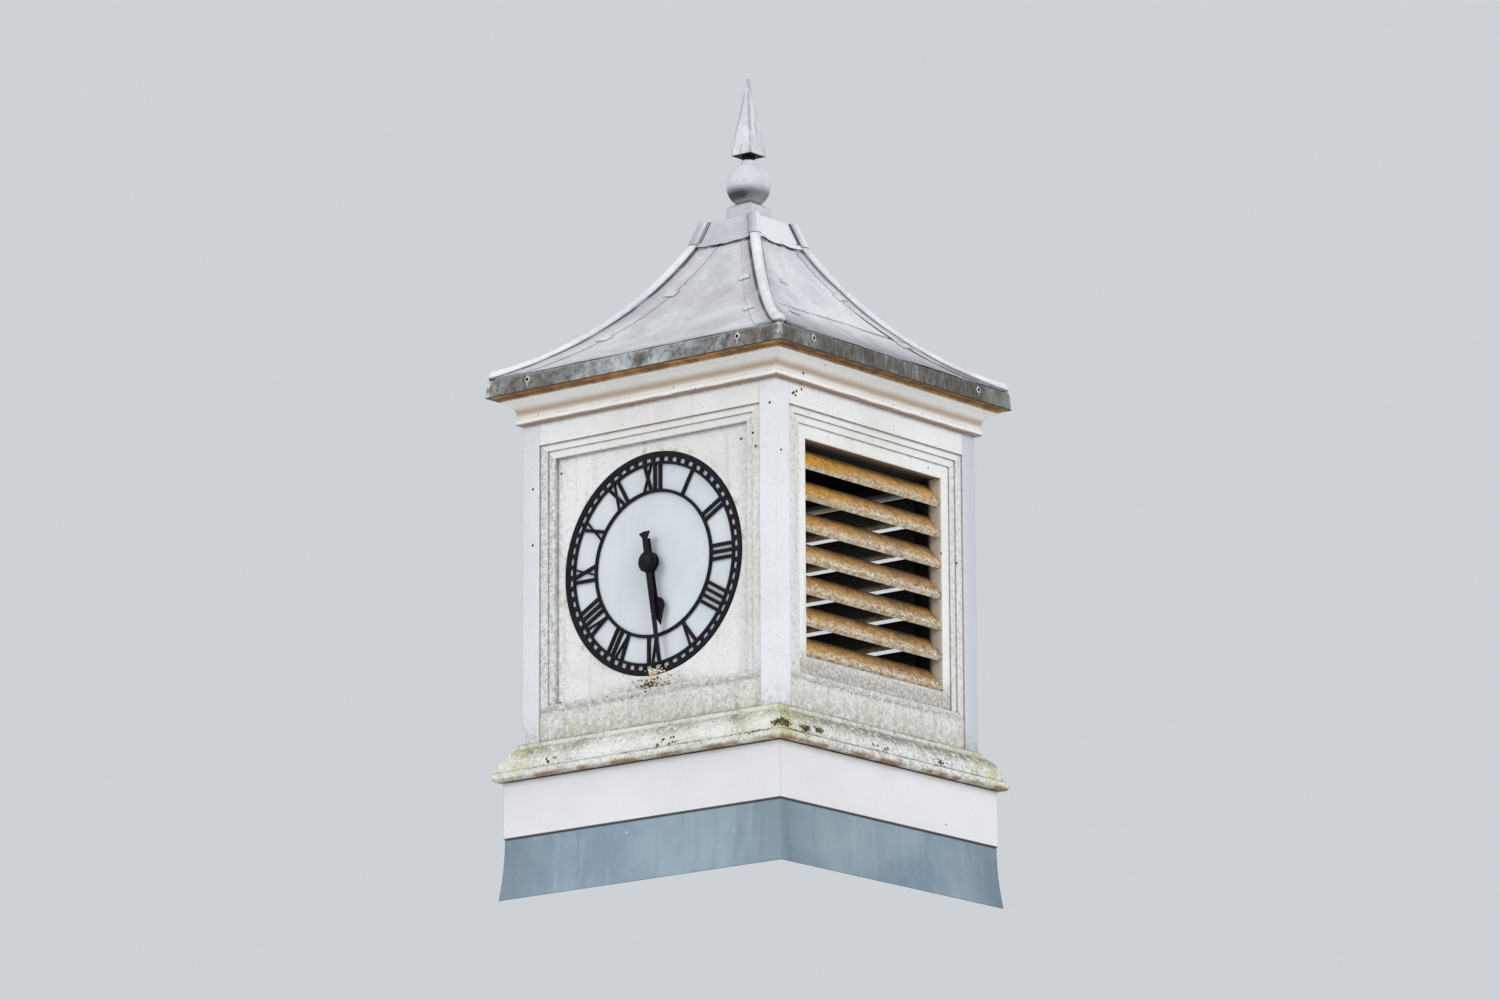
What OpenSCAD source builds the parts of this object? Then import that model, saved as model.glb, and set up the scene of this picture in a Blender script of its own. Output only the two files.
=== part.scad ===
// Roof clock turret: a square boarded tower with one clock face, three louvred
// faces and a swept lead roof with hip rolls, a cap and a spike finial.
// Origin at the middle of the base, +Z up, the clock face looks along -Y.

/* [Body] */
// Width of the body across its corner posts
body_w = 865; // [780:5:1000]
// Width of each corner post
post_w = 55.5; // [45:0.5:80]
// Visible height of the bottom rail above the base moulding
bottom_rail_show = 81; // [40:1:120]
// Height of the panel framed by the posts and rails
panel_h = 729; // [680:1:900]
// Visible height of the top rail under the cornice
top_rail_show = 59; // [40:1:100]
// Thickness of the rails
rail_t = 45; // [36:1:60]
// Setback of the bottom rail behind the post faces
bottom_rail_set = 4; // [1:0.5:8]

/* [Upstand and fascia] */
// Visible height of the zinc upstand
upstand_h = 165; // [120:1:260]
// Thickness of the upstand at its top edge, board and zinc together
upstand_t = 33; // [28:0.5:45]
// How far the zinc flares outwards at its foot
upstand_flare = 12; // [4:1:20]
// Height of the fascia board, with the shadow gap above it
fascia_h = 154; // [100:1:200]
// Thickness of the fascia board
fascia_t = 19; // [12:0.5:25]
// How far the fascia stands in front of the zinc
fascia_proud = 3; // [1:0.5:6]
// Shadow gap between the fascia and the base moulding
shadow_gap = 3; // [2:0.5:6]

/* [Base moulding] */
// Height of the base moulding
base_mould_h = 104; // [90:1:130]
// How far the base moulding projects from the body
base_mould_p = 58.5; // [50:0.5:75]
// Height of the square lower edge of the base moulding
base_fillet_h = 20; // [12:1:28]

/* [Cornice and eave] */
// Height of the cornice
cornice_h = 77; // [70:1:95]
// How far the cornice projects from the body
cornice_p = 46; // [40:0.5:60]
// Radius of the bead at the foot of the cornice
cornice_bead_r = 9; // [6:0.5:11]
// Height of the square top edge of the cornice
cornice_fillet_h = 12; // [8:1:16]
// Height of the drip band at the eave
drip_h = 47; // [40:1:70]
// How far the drip band reaches past the cornice
drip_overhang = 27; // [20:1:40]
// How far the foot of the drip band kicks outwards
drip_kick = 4; // [1:0.5:8]
// Depth of the eave board behind its face
eave_board_w = 105; // [85:1:120]
// Thickness of the eave board's lip in front of the edge of the slope
eave_lip = 5; // [3:0.5:8]

/* [Roof] */
// Height of the roof from its eave edge to the foot of the cap
roof_rise = 394; // [300:1:480]
// Half the width of the roof at the foot of the cap
roof_top_half = 98; // [90:1:140]
// How far the sweep of the roof hangs below a straight slope
roof_sweep = 47; // [25:1:55]
// Thickness of the roof, boards and lead together
roof_t = 14; // [10:0.5:20]
// Radius of a hip roll
hip_roll_r = 14; // [10:0.5:18]
// Width of the hip roll's stem between the two slopes
hip_stem_w = 12; // [8:1:16]

/* [Cap and finial] */
// Height of the cap's skirt
cap_skirt_h = 64; // [50:1:90]
// Half the width of the cap at the top of its skirt
cap_top_half = 84; // [75:1:95]
// Thickness of the cap's skirt at its foot
cap_t = 7; // [3:0.5:9]
// How much larger the rolls on the cap's corners are than the hip rolls
cap_roll_step = 2; // [1:0.5:4]
// Height of the shallow slope on top of the cap
cap_slope_h = 14; // [8:1:24]
// How far the roof slopes run up inside the cap
cap_lap = 28; // [15:1:40]
// Width of the square collar under the ball
collar_w = 86; // [78:1:100]
// Height of the collar's upright sides
collar_h = 29; // [20:1:40]
// Height of the collar's sloped shoulder
collar_shoulder_h = 11; // [6:1:20]
// Diameter of the ball
ball_d = 122; // [100:1:140]
// Diameter of the seat where the ball meets the collar
ball_seat_d = 56; // [46:1:70]
// Diameter of the ball's upper neck
ball_neck_d = 40; // [30:1:50]
// Height of the ball's upper neck above the ball
ball_neck_h = 12; // [6:1:20]
// Diameter of the dark neck under the spike
neck_d = 36; // [26:1:44]
// Height of the dark neck under the spike
neck_h = 14; // [8:1:24]
// Width of the spike at its foot
spike_w = 67; // [50:1:80]
// Height of the square edge at the spike's foot
spike_edge_h = 7; // [4:1:12]
// Height of the spike above that edge
spike_h = 213; // [150:1:300]
// Width of the spike's blunt tip
spike_tip_w = 4; // [2:0.5:8]

/* [Panels] */
// Depth of the clock board behind the post faces
panel_recess = 20; // [16:0.5:28]
// Depth of the louvre frames behind the post faces
frame_recess = 12; // [10:0.5:15]
// Width of the panel moulding's outer step at the sides
side_outer_w = 27; // [18:1:34]
// Width of the panel moulding's inner step at the sides
side_inner_w = 22; // [14:1:28]
// Width of the panel moulding's outer step at the head
head_outer_w = 20; // [14:1:30]
// Width of the panel moulding's inner step at the head
head_inner_w = 21; // [14:1:28]
// Width of the panel moulding at the foot
foot_outer_w = 15; // [10:1:24]
// Setback of the outer step behind the post faces
outer_step_set = 4; // [2:0.5:5]
// Setback of the inner step behind the post faces
inner_step_set = 8; // [6:0.5:9]
// Thickness of the clock board
clock_board_t = 24; // [20:1:30]

/* [Louvres] */
// Width of the louvre opening
louvre_w = 590; // [540:1:640]
// Height of the louvre opening
louvre_h = 586; // [500:1:620]
// How far the middle of the louvre opening sits below the middle of the panel
louvre_drop = 6.5; // [0:0.5:12]
// Depth of the louvre frame
louvre_frame_d = 78; // [74:1:90]
// Width of the lining boards round the louvre opening
louvre_lining_w = 22; // [12:1:25]
// Number of blades in a louvre
blades = 7; // [5:1:8]
// Distance from one blade to the next
blade_pitch = 84.5; // [70:0.5:95]
// Height of the lowest blade's nose above the sill
blade_start = 1; // [1:1:20]
// Slope of the blades
blade_slope = 50; // [35:1:55]
// Width of a blade from nose to back edge
blade_w = 73; // [60:1:80]
// Thickness of a blade
blade_t = 13; // [9:0.5:18]
// How far the lower edge of a nose is set back behind the frame's face
blade_set = 10.5; // [6:0.5:14]
// How far each blade end is housed in the frame
blade_housing = 8; // [4:1:14]

/* [Dial] */
// Diameter of the dial
dial_d = 600; // [520:1:630]
// How far the dial's centre sits below the middle of the panel
dial_drop = 10; // [0:1:20]
// Depth of the round pocket that takes the dial
dial_pocket = 10; // [6:0.5:12]
// Gap between the dial's rim and the wall of its pocket
dial_pocket_gap = 2; // [1:0.5:4]
// Thickness of the pale glass behind the numerals
dial_glass_t = 6; // [4:0.5:10]
// How far the glass stays inside the rim of the ring
dial_glass_inset = 4; // [1:0.5:10]
// Thickness of the cast dial ring
dial_ring_t = 6; // [4:0.5:9]
// Width of the outer rim
rim_w = 13; // [8:0.5:18]
// Height of the minute slots
minute_slot_h = 12; // [8:0.5:16]
// Width of a bar between two minute slots
minute_bar_w = 11; // [6:0.5:16]
// Width of the ring inside the minute slots
chapter_w = 7; // [5:0.5:12]
// Height of the numerals
numeral_h = 68; // [50:1:80]
// Width of the inner ring
inner_ring_w = 8; // [5:0.5:12]
// Width of a thick stroke
thick = 9; // [6:0.5:11]
// Width of a thin stroke
thin = 5; // [3:0.5:6]
// Distance between the upright strokes of a numeral
stroke_pitch = 18; // [14:0.5:20]
// Spread of the V and the X between the middles of their strokes
letter_spread = 22; // [16:0.5:26]

/* [Hands] */
// Clearance between the dial and the hour hand, and between the hands
hand_gap = 7; // [5:0.5:10]
// Thickness of the hands
hand_t = 4; // [3:0.5:6]
// Minute shown by the hands at rest, past five o'clock
minute_shown = 28.7; // [0:0.1:59.9]
// Hour shown by the hands at rest
hour_shown = 5; // [0:1:11]
// Degrees by which the hour hand is set ahead of its true place
hour_ahead = 4.5; // [-8:0.5:8]
// Length of the minute hand from the centre
minute_hand_l = 262; // [220:1:280]
// Width of the minute hand near its boss
minute_hand_w = 20; // [14:0.5:26]
// Width of the minute hand at its tip
minute_tip_w = 10; // [6:0.5:14]
// Length of the minute hand's tail
minute_tail_l = 85; // [60:1:100]
// Width of the flared end of the minute hand's tail
minute_tail_w = 36; // [20:1:44]
// Length of the hour hand from the centre
hour_hand_l = 176; // [150:1:190]
// Width of the hour hand's stem
hour_hand_w = 17; // [12:0.5:22]
// Distance of the hour hand's widest point from the centre
hour_spade_at = 122; // [110:1:140]
// Width of the hour hand's spade
hour_spade_w = 47; // [34:1:60]
// Length of the hour hand's tail
hour_tail_l = 66; // [50:1:76]
// Width of the hour hand's tail at its end
hour_tail_w = 22; // [14:1:30]
// Diameter of the minute hand's boss
boss_d = 57; // [48:1:66]
// Height of the minute hand's boss
boss_h = 12; // [8:0.5:16]
// Diameter of the hour hand's boss
hour_boss_d = 56; // [40:1:60]
// Diameter of the minute hand's arbor
arbor_d = 12; // [8:0.5:14]
// Wall of the hour hand's pipe
pipe_wall = 2.5; // [2:0.5:4]
// Radial clearance of the arbor in the pipe, and of the pipe in the board
arbor_clearance = 0.6; // [0.3:0.1:1.5]
// How far the arbor reaches behind the clock board
arbor_tail = 20; // [10:1:40]

/* [Hidden] */
$fn = 96;

// The four sides, anticlockwise from the clock face, seen from above
SIDES = ["front", "right", "back", "left"];
function side_turn(side) = side == "right" ? 90 : side == "back" ? 180 : side == "left" ? 270 : 0;

// Number of straight steps in a drawn curve
curve_steps = 8;

// Heights, from the base up
fascia_z = upstand_h;
base_mould_z = fascia_z + fascia_h;
base_mould_top = base_mould_z + base_mould_h;
panel_z = base_mould_top + bottom_rail_show;
panel_top = panel_z + panel_h;
cornice_z = panel_top + top_rail_show;
eave_z = cornice_z + cornice_h;
drip_top = eave_z + drip_h;

// Distances outwards from the middle of the tower
body_half = body_w / 2;
post_in = body_half - post_w;
zinc_out = body_half + upstand_t;
fascia_out = zinc_out + fascia_proud;
fascia_in = fascia_out - fascia_t;
panel_face = body_half - panel_recess;
frame_face = body_half - frame_recess;
cornice_out = body_half + cornice_p;
drip_out = cornice_out + drip_overhang;
roof_edge_half = drip_out - drip_kick;
slope_edge_half = roof_edge_half - eave_lip;

// The roof profile is one hollow arc through the eave edge and the foot of the cap
roof_foot = [roof_edge_half, drip_top];
roof_head = [roof_top_half, roof_foot[1] + roof_rise];
chord = norm(roof_head - roof_foot);
roof_r = chord * chord / (8 * roof_sweep) + roof_sweep / 2;
chord_out = [roof_head[1] - roof_foot[1], roof_foot[0] - roof_head[0]] / chord;
roof_centre = (roof_foot + roof_head) / 2 + chord_out * (roof_r - roof_sweep);
function roof_half(z) = roof_centre[0] - sqrt(pow(roof_r, 2) - pow(z - roof_centre[1], 2));
function roof_z(half) = roof_centre[1] - sqrt(pow(roof_r, 2) - pow(half - roof_centre[0], 2));

// Each hip roll is one arc in its diagonal plane, through three points of the hip
function hip_at(z) = [sqrt(2) * roof_half(z), z];
function circle_centre(a, b, c) = let (
    ab = b - a,
    ac = c - a
) a + [ac[1] * (ab * ab) - ab[1] * (ac * ac), ab[0] * (ac * ac) - ac[0] * (ab * ab)] / (2 * cross(ab, ac));
hip_foot = hip_at(roof_z(slope_edge_half - hip_stem_w / (2 * sqrt(2))));
hip_head = hip_at(roof_head[1]);
hip_centre = circle_centre(hip_foot, hip_at((hip_foot[1] + hip_head[1]) / 2), hip_head);
hip_r = norm(hip_foot - hip_centre);
function hip_angle(p) = atan2(p[1] - hip_centre[1], p[0] - hip_centre[0]);

// The cap sits over the head of the roof
cap_z = roof_head[1];
slope_top = cap_z + cap_lap;
cap_foot_half = roof_top_half + cap_t;
cap_shoulder_z = cap_z + cap_skirt_h;
cap_top_z = cap_shoulder_z + cap_slope_h;
collar_half = collar_w / 2;
collar_shoulder_z = cap_top_z + collar_h;
collar_top_z = collar_shoulder_z + collar_shoulder_h;
ball_r = ball_d / 2;
ball_z = collar_top_z + sqrt(pow(ball_r, 2) - pow(ball_seat_d / 2, 2));
ball_top_z = ball_z + sqrt(pow(ball_r, 2) - pow(ball_neck_d / 2, 2));
neck_z = ball_top_z + ball_neck_h;
spike_z = neck_z + neck_h;

// The louvre opening
panel_mid = panel_z + panel_h / 2;
louvre_z = panel_mid - louvre_drop - louvre_h / 2;

// The dial, from its rim inwards
dial_z = panel_mid - dial_drop;
dial_r = dial_d / 2;
slot_out = dial_r - rim_w;
slot_in = slot_out - minute_slot_h;
chapter_in = slot_in - chapter_w;
inner_ring_out = chapter_in - numeral_h;
slot_w = PI * (slot_out + slot_in) / 60 - minute_bar_w;

// Distances outwards of what is stacked in the pocket of the clock board
glass_back = panel_face - dial_pocket;
glass_face = glass_back + dial_glass_t;
ring_face = glass_face + dial_ring_t;
hour_back = ring_face + hand_gap;
minute_back = hour_back + hand_t + hand_gap;
arbor_back = panel_face - clock_board_t - arbor_tail;
pipe_bore_r = arbor_d / 2 + arbor_clearance;
pipe_r = pipe_bore_r + pipe_wall;
board_bore_r = pipe_r + arbor_clearance;

// Direction of each hand at rest, clockwise from twelve
minute_angle = minute_shown * 6;
hour_angle = hour_shown * 30 + minute_shown / 2 + hour_ahead;

white = "#e6e4dc";
zinc = "#8fa0ac";
lead = "#b9b6bb";
dark_lead = "#6d6f6c";
ochre = "#b98f4a";
black = "#14161c";
opal = "#d5dde3";

// Turns a piece made for the front to another side
module on_side(side) {
    rotate([0, 0, side_turn(side)]) children();
}

// Extrudes a section along the front; its x is outwards and its y is up
module along_front(half_length) {
    rotate([90, 0, -90])
        translate([0, 0, -half_length])
            linear_extrude(2 * half_length) children();
}

// The quarter of the tower that belongs to the front, between two heights
module front_quarter(reach, low, high) {
    translate([0, 0, low])
        linear_extrude(high - low)
            polygon([[0, 0], [-reach, -reach], [reach, -reach]]);
}

// A length of moulding or board for one side, mitred at both ends
module mitred_length(side, reach, low, high) {
    on_side(side) intersection() {
        along_front(reach) children();
        front_quarter(reach, low, high);
    }
}

// A four-sided solid with the same upright profile seen from two sides
module four_sided(reach) {
    intersection() {
        rotate([90, 0, 0]) linear_extrude(2 * reach, center = true) children();
        rotate([90, 0, 90]) linear_extrude(2 * reach, center = true) children();
    }
}

// Puts a flat outline, drawn as seen from the front, at a distance outwards
module on_face(back, thickness) {
    translate([0, -back, 0]) rotate([90, 0, 0]) linear_extrude(thickness) children();
}

// Zinc-faced upstand, flared at its foot, rebated behind the fascia
module upstand(side) {
    flare = [for (i = [0:curve_steps]) let (f = i / curve_steps)
        [zinc_out + upstand_flare * pow(1 - f, 2), upstand_h * f]];
    color(zinc) mitred_length(side, zinc_out + upstand_flare, 0, base_mould_z)
        polygon(concat(
            [[body_half, 0]], flare,
            [[fascia_in, upstand_h], [fascia_in, base_mould_z], [body_half, base_mould_z]]
        ));
}

// Painted fascia board with a small drip chamfer
module fascia(side) {
    chamfer = 2;
    color(white) mitred_length(side, fascia_out, fascia_z, base_mould_z)
        polygon([
            [fascia_in, fascia_z], [fascia_out - chamfer, fascia_z],
            [fascia_out, fascia_z + chamfer], [fascia_out, base_mould_z - shadow_gap],
            [fascia_in, base_mould_z - shadow_gap]
        ]);
}

// Base moulding: square lower edge, small step, ovolo and a narrow bead
module base_moulding(side) {
    edge = 5;
    bead_h = 12;
    bead_p = 9;
    top_slope = 5;
    ledge_w = 11;
    ledge_h = 7;
    bead_lip = 4;
    bulge = 9;
    ovolo_low = [base_mould_p - ledge_w, base_fillet_h + ledge_h];
    ovolo_high = [bead_p + bead_lip, base_mould_h - top_slope - bead_h];
    span = ovolo_high - ovolo_low;
    across = [span[1], -span[0]] / norm(span);
    ovolo = [for (i = [0:curve_steps]) let (f = i / curve_steps)
        ovolo_low + span * f + across * 4 * bulge * f * (1 - f)];
    outline = concat(
        [[0, 0], [base_mould_p - edge, 0], [base_mould_p, edge], [base_mould_p, base_fillet_h]],
        ovolo,
        [[bead_p, base_mould_h - top_slope - bead_h], [bead_p, base_mould_h - top_slope],
            [0, base_mould_h]]
    );
    color(white)
        mitred_length(side, body_half + base_mould_p, base_mould_z, base_mould_top)
            translate([body_half, base_mould_z]) polygon(outline);
}

// Square corner posts from the base to the eave
module corner_posts() {
    color(white) for (x = [-1, 1], y = [-1, 1])
        translate([x * (body_half - post_w / 2), y * (body_half - post_w / 2), eave_z / 2])
            cube([post_w, post_w, eave_z], center = true);
}

// A rail between two posts on every side
module rails(low, high, set_back) {
    color(white) for (side = SIDES) on_side(side)
        translate([-post_in, -body_half + set_back, low])
            cube([2 * post_in, rail_t - set_back, high - low]);
}

module bottom_rails() {
    rails(base_mould_z, panel_z, bottom_rail_set);
}

module top_rails() {
    rails(panel_top, eave_z, 0);
}

// Flat rectangle of the panel, drawn as seen from the front, less its insets
module panel_outline(sides = 0, foot = 0, head = 0) {
    translate([-post_in + sides, panel_z + foot])
        square([2 * (post_in - sides), panel_h - foot - head]);
}

// Round cut for the dial, with its gap
module dial_outline() {
    translate([0, dial_z]) circle(dial_r + dial_pocket_gap);
}

// A stepped picture moulding on every side, one step only at its foot, scribed round the dial
module panel_mouldings() {
    color(white) for (side = SIDES) on_side(side) {
        board_face = side == "front" ? panel_face : frame_face;
        on_face(board_face, body_half - inner_step_set - board_face) difference() {
            panel_outline();
            panel_outline(side_outer_w + side_inner_w, foot_outer_w, head_outer_w + head_inner_w);
            if (side == "front") dial_outline();
        }
        on_face(board_face, body_half - outer_step_set - board_face) difference() {
            panel_outline();
            panel_outline(side_outer_w, foot_outer_w, head_outer_w);
            if (side == "front") dial_outline();
        }
    }
}

// Flat board with a round pocket for the dial, bored for the hour hand's pipe
module clock_board() {
    color(white) {
        on_face(panel_face - clock_board_t, clock_board_t - dial_pocket) difference() {
            panel_outline();
            translate([0, dial_z]) circle(board_bore_r);
        }
        on_face(glass_back, dial_pocket) difference() {
            panel_outline();
            dial_outline();
        }
    }
}

// Pale glass of the dial
module dial_glass() {
    color(opal) on_face(glass_back, dial_glass_t) translate([0, dial_z]) difference() {
        circle(dial_r - dial_glass_inset);
        circle(board_bore_r);
    }
}

// A slanted stroke between two heights of a numeral
module stroke(foot_x, head_x, width) {
    overlap = 3;
    lean = (head_x - foot_x) / numeral_h * overlap;
    foot_y = inner_ring_out - overlap;
    head_y = chapter_in + overlap;
    polygon([
        [foot_x - lean - width / 2, foot_y], [foot_x - lean + width / 2, foot_y],
        [head_x + lean + width / 2, head_y], [head_x + lean - width / 2, head_y]
    ]);
}

// One Roman numeral, from the widths its letters take
function letter_w(letter) = letter == "I" ? stroke_pitch : letter_spread + stroke_pitch / 2;
function word_w(word, n) = n == 0 ? 0 : letter_w(word[n - 1]) + word_w(word, n - 1);

module letter(kind) {
    s = letter_spread / 2;
    if (kind == "I") stroke(0, 0, thick);
    if (kind == "V") {
        stroke(0, -s, thick);
        stroke(0, s, thin);
    }
    if (kind == "X") {
        stroke(s, -s, thick);
        stroke(-s, s, thin);
    }
}

module numeral(word) {
    for (i = [0:len(word) - 1])
        translate([word_w(word, i) + letter_w(word[i]) / 2 - word_w(word, len(word)) / 2, 0])
            letter(word[i]);
}

// Cast skeleton ring: rim, minute slots, chapter ring, numerals and inner ring
module dial_ring() {
    hours = ["I", "II", "III", "IIII", "V", "VI", "VII", "VIII", "IX", "X", "XI", "XII"];
    color(black) on_face(glass_face, dial_ring_t) translate([0, dial_z]) {
        difference() {
            circle(dial_r);
            circle(chapter_in);
            for (minute = [0:59]) rotate(-6 * minute - 3)
                translate([-slot_w / 2, slot_in]) square([slot_w, minute_slot_h]);
        }
        for (hour = [1:12]) rotate(-30 * hour) numeral(hours[hour - 1]);
        difference() {
            circle(inner_ring_out);
            circle(inner_ring_out - inner_ring_w);
        }
    }
}

// Places a hand's parts about the dial's centre, turned clockwise
module at_dial(angle) {
    translate([0, 0, dial_z]) rotate([0, angle, 0]) children();
}

// Hour hand: stem, spade, tail, boss and the pipe it turns on
module hour_hand() {
    half_stem = hour_hand_w / 2;
    half_spade = hour_spade_w / 2;
    half_tail = hour_tail_w / 2;
    color(black) at_dial(hour_angle) {
        on_face(hour_back, hand_t) difference() {
            union() {
                polygon([
                    [-half_stem, 0], [-half_stem / 2, hour_spade_at],
                    [half_stem / 2, hour_spade_at], [half_stem, 0]
                ]);
                translate([0, hour_spade_at]) circle(half_spade);
                polygon([[-half_spade, hour_spade_at], [0, hour_hand_l], [half_spade, hour_spade_at]]);
                polygon([
                    [-half_stem, 0], [-half_tail, -hour_tail_l],
                    [half_tail, -hour_tail_l], [half_stem, 0]
                ]);
                circle(d = hour_boss_d);
            }
            circle(pipe_bore_r);
        }
        on_face(arbor_back + arbor_tail / 2, hour_back - arbor_back - arbor_tail / 2)
            difference() {
                circle(pipe_r);
                circle(pipe_bore_r);
            }
    }
}

// Minute hand: blade, flared tail, boss and the arbor inside the hour hand's pipe
module minute_hand() {
    half_w = minute_hand_w / 2;
    half_tip = minute_tip_w / 2;
    half_tail = minute_tail_w / 2;
    waist = minute_tail_l - half_tail;
    waist_half = half_w * 0.85;
    end_bow = 3;
    color(black) at_dial(minute_angle) {
        on_face(minute_back, hand_t) {
            polygon([
                [-half_w, 0], [-half_tip, minute_hand_l - half_tip], [0, minute_hand_l],
                [half_tip, minute_hand_l - half_tip], [half_w, 0]
            ]);
            polygon([
                [-waist_half, 0], [-waist_half, -waist], [-half_tail, -minute_tail_l + end_bow],
                [0, -minute_tail_l], [half_tail, -minute_tail_l + end_bow], [waist_half, -waist],
                [waist_half, 0]
            ]);
        }
        on_face(minute_back, boss_h * 0.6) circle(d = boss_d);
        on_face(minute_back, boss_h * 0.85) circle(d = boss_d * 0.9);
        on_face(minute_back, boss_h) circle(d = boss_d * 0.7);
        on_face(arbor_back, minute_back - arbor_back) circle(d = arbor_d);
    }
}

// Section of one louvre blade, with the lower edge of its nose at a height
module blade_section(nose_z) {
    translate([frame_face - blade_set, nose_z]) rotate(180 - blade_slope)
        translate([0, -blade_t]) square([blade_w, blade_t]);
}

module blade_bodies() {
    for (i = [0:blades - 1]) along_front(louvre_w / 2 + blade_housing)
        blade_section(louvre_z + blade_start + i * blade_pitch);
}

// Flat rectangle of the louvre opening, widened by its lining
module louvre_outline(lining = 0) {
    translate([-louvre_w / 2 - lining, louvre_z - lining])
        square([louvre_w + 2 * lining, louvre_h + 2 * lining]);
}

// Louvre frame between the posts, housed for the blades, with a deeper lining mitred where two meet
module louvre_frame(side) {
    color(white) on_side(side) difference() {
        union() {
            on_face(post_in, frame_face - post_in) difference() {
                panel_outline();
                louvre_outline();
            }
            intersection() {
                on_face(frame_face - louvre_frame_d, louvre_frame_d) difference() {
                    louvre_outline(louvre_lining_w);
                    louvre_outline();
                }
                front_quarter(body_half, panel_z, panel_top);
            }
        }
        blade_bodies();
    }
}

module louvre_blades(side) {
    color(ochre) on_side(side) blade_bodies();
}

// Cornice: bead, hollow and square top edge
module cornice(side) {
    bead_low = 2;
    bead_p = cornice_bead_r + 3;
    hollow_low = 2 * cornice_bead_r + 4;
    hollow_high = cornice_h - cornice_fillet_h;
    hollow_p = cornice_p - 4;
    hollow_span = [hollow_p - bead_p, hollow_high - hollow_low];
    hollow_r = norm(hollow_span) * 0.8;
    middle = [bead_p + hollow_p, hollow_low + hollow_high] / 2;
    away = [hollow_span[1], -hollow_span[0]] / norm(hollow_span);
    centre = middle + away * sqrt(pow(hollow_r, 2) - pow(norm(hollow_span) / 2, 2));
    color(white) mitred_length(side, cornice_out, cornice_z, eave_z)
        translate([body_half, cornice_z]) intersection() {
            union() {
                difference() {
                    polygon([
                        [0, bead_low], [bead_p - cornice_bead_r / 2, bead_low], [bead_p, hollow_low],
                        [hollow_p, hollow_high],
                        [cornice_p, hollow_high], [cornice_p, cornice_h], [0, cornice_h]
                    ]);
                    translate(centre) circle(hollow_r);
                }
                translate([bead_p - cornice_bead_r / 2, cornice_bead_r + bead_low])
                    circle(cornice_bead_r);
            }
            square([cornice_p, cornice_h]);
        }
}

// Region of the roof slope in section, bounded by its two arcs
module slope_section() {
    intersection() {
        difference() {
            translate(roof_centre) circle(roof_r + roof_t, $fn = 360);
            translate(roof_centre) circle(roof_r, $fn = 360);
        }
        translate([0, eave_z]) square([slope_edge_half, slope_top - eave_z]);
    }
}

// Eave board with its dark drip face, its lip and its bed for the roof slope
module eave(side) {
    inner = drip_out - eave_board_w;
    spare = 1;
    color(dark_lead) mitred_length(side, drip_out, eave_z, roof_head[1])
        difference() {
            polygon([
                [inner, eave_z], [drip_out, eave_z],
                [roof_edge_half, drip_top], [roof_edge_half, drip_top + spare],
                [inner, roof_z(inner) + spare]
            ]);
            translate(roof_centre) circle(roof_r, $fn = 360);
            slope_section();
        }
}

// One swept slope of the roof, cut back beside both hips for the rolls
module roof_slope(side) {
    stem = hip_stem_w / sqrt(2);
    reach = slope_edge_half;
    color(lead) on_side(side) intersection() {
        along_front(reach) slope_section();
        linear_extrude(slope_top)
            polygon([[0, -stem], [stem - reach, -reach], [reach - stem, -reach]]);
    }
}

// Section of a hip roll: a round head with a flat underside over a narrow stem
module roll_section() {
    lift = hip_roll_r * 0.45;
    head_clear = 0.5;
    stem_deep = roof_t * 0.7;
    difference() {
        translate([hip_r - lift, 0]) circle(hip_roll_r);
        translate([hip_r - head_clear, -hip_roll_r]) square(2 * hip_roll_r);
    }
    translate([hip_r - lift, -hip_stem_w / 2]) square([lift + stem_deep, hip_stem_w]);
}

// The hip rolls, swept along the four hips and cut level under the cap
module hip_rolls() {
    clear = 1;
    past_head = 2;
    head_a = hip_angle(hip_head) - past_head;
    reach = slope_edge_half + hip_roll_r;
    color(lead) intersection() {
        for (corner = [45:90:315]) rotate([0, 0, corner])
            translate([hip_centre[0], 0, hip_centre[1]]) rotate([90, 0, 0]) rotate(head_a)
                rotate_extrude(angle = hip_angle(hip_foot) - head_a) roll_section();
        translate([-reach, -reach, 0]) cube([2 * reach, 2 * reach, cap_z - clear]);
    }
}

// Round roll on a corner of the cap, over the head of a hip roll
module cap_roll() {
    lean = atan(sqrt(2) * (cap_foot_half - cap_top_half) / cap_skirt_h);
    r = hip_roll_r + cap_roll_step;
    translate([sqrt(2) * cap_foot_half, 0, cap_z]) rotate([0, -lean, 0])
        translate([0, 0, -r]) cylinder(cap_skirt_h / cos(lean) + 2 * r, r = r);
}

// Cap over the head of the slopes
module roof_cap() {
    clear = 1;
    reach = cap_foot_half + hip_roll_r + cap_roll_step;
    inner = [for (i = [0:curve_steps]) let (z = cap_z + cap_lap * i / curve_steps)
        [roof_half(z) + clear, i == 0 ? z - clear : z]];
    mirrored = [for (i = [curve_steps:-1:0]) [-inner[i][0], inner[i][1]]];
    color(lead) difference() {
        union() {
            four_sided(cap_foot_half) polygon([
                [-cap_foot_half, cap_z], [cap_foot_half, cap_z],
                [cap_top_half, cap_shoulder_z], [collar_half, cap_top_z],
                [-collar_half, cap_top_z], [-cap_top_half, cap_shoulder_z]
            ]);
            intersection() {
                for (corner = [45:90:315]) rotate([0, 0, corner]) cap_roll();
                translate([-reach, -reach, cap_z]) cube([2 * reach, 2 * reach, cap_skirt_h]);
            }
        }
        four_sided(cap_foot_half) polygon(concat(inner, mirrored));
    }
}

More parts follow.
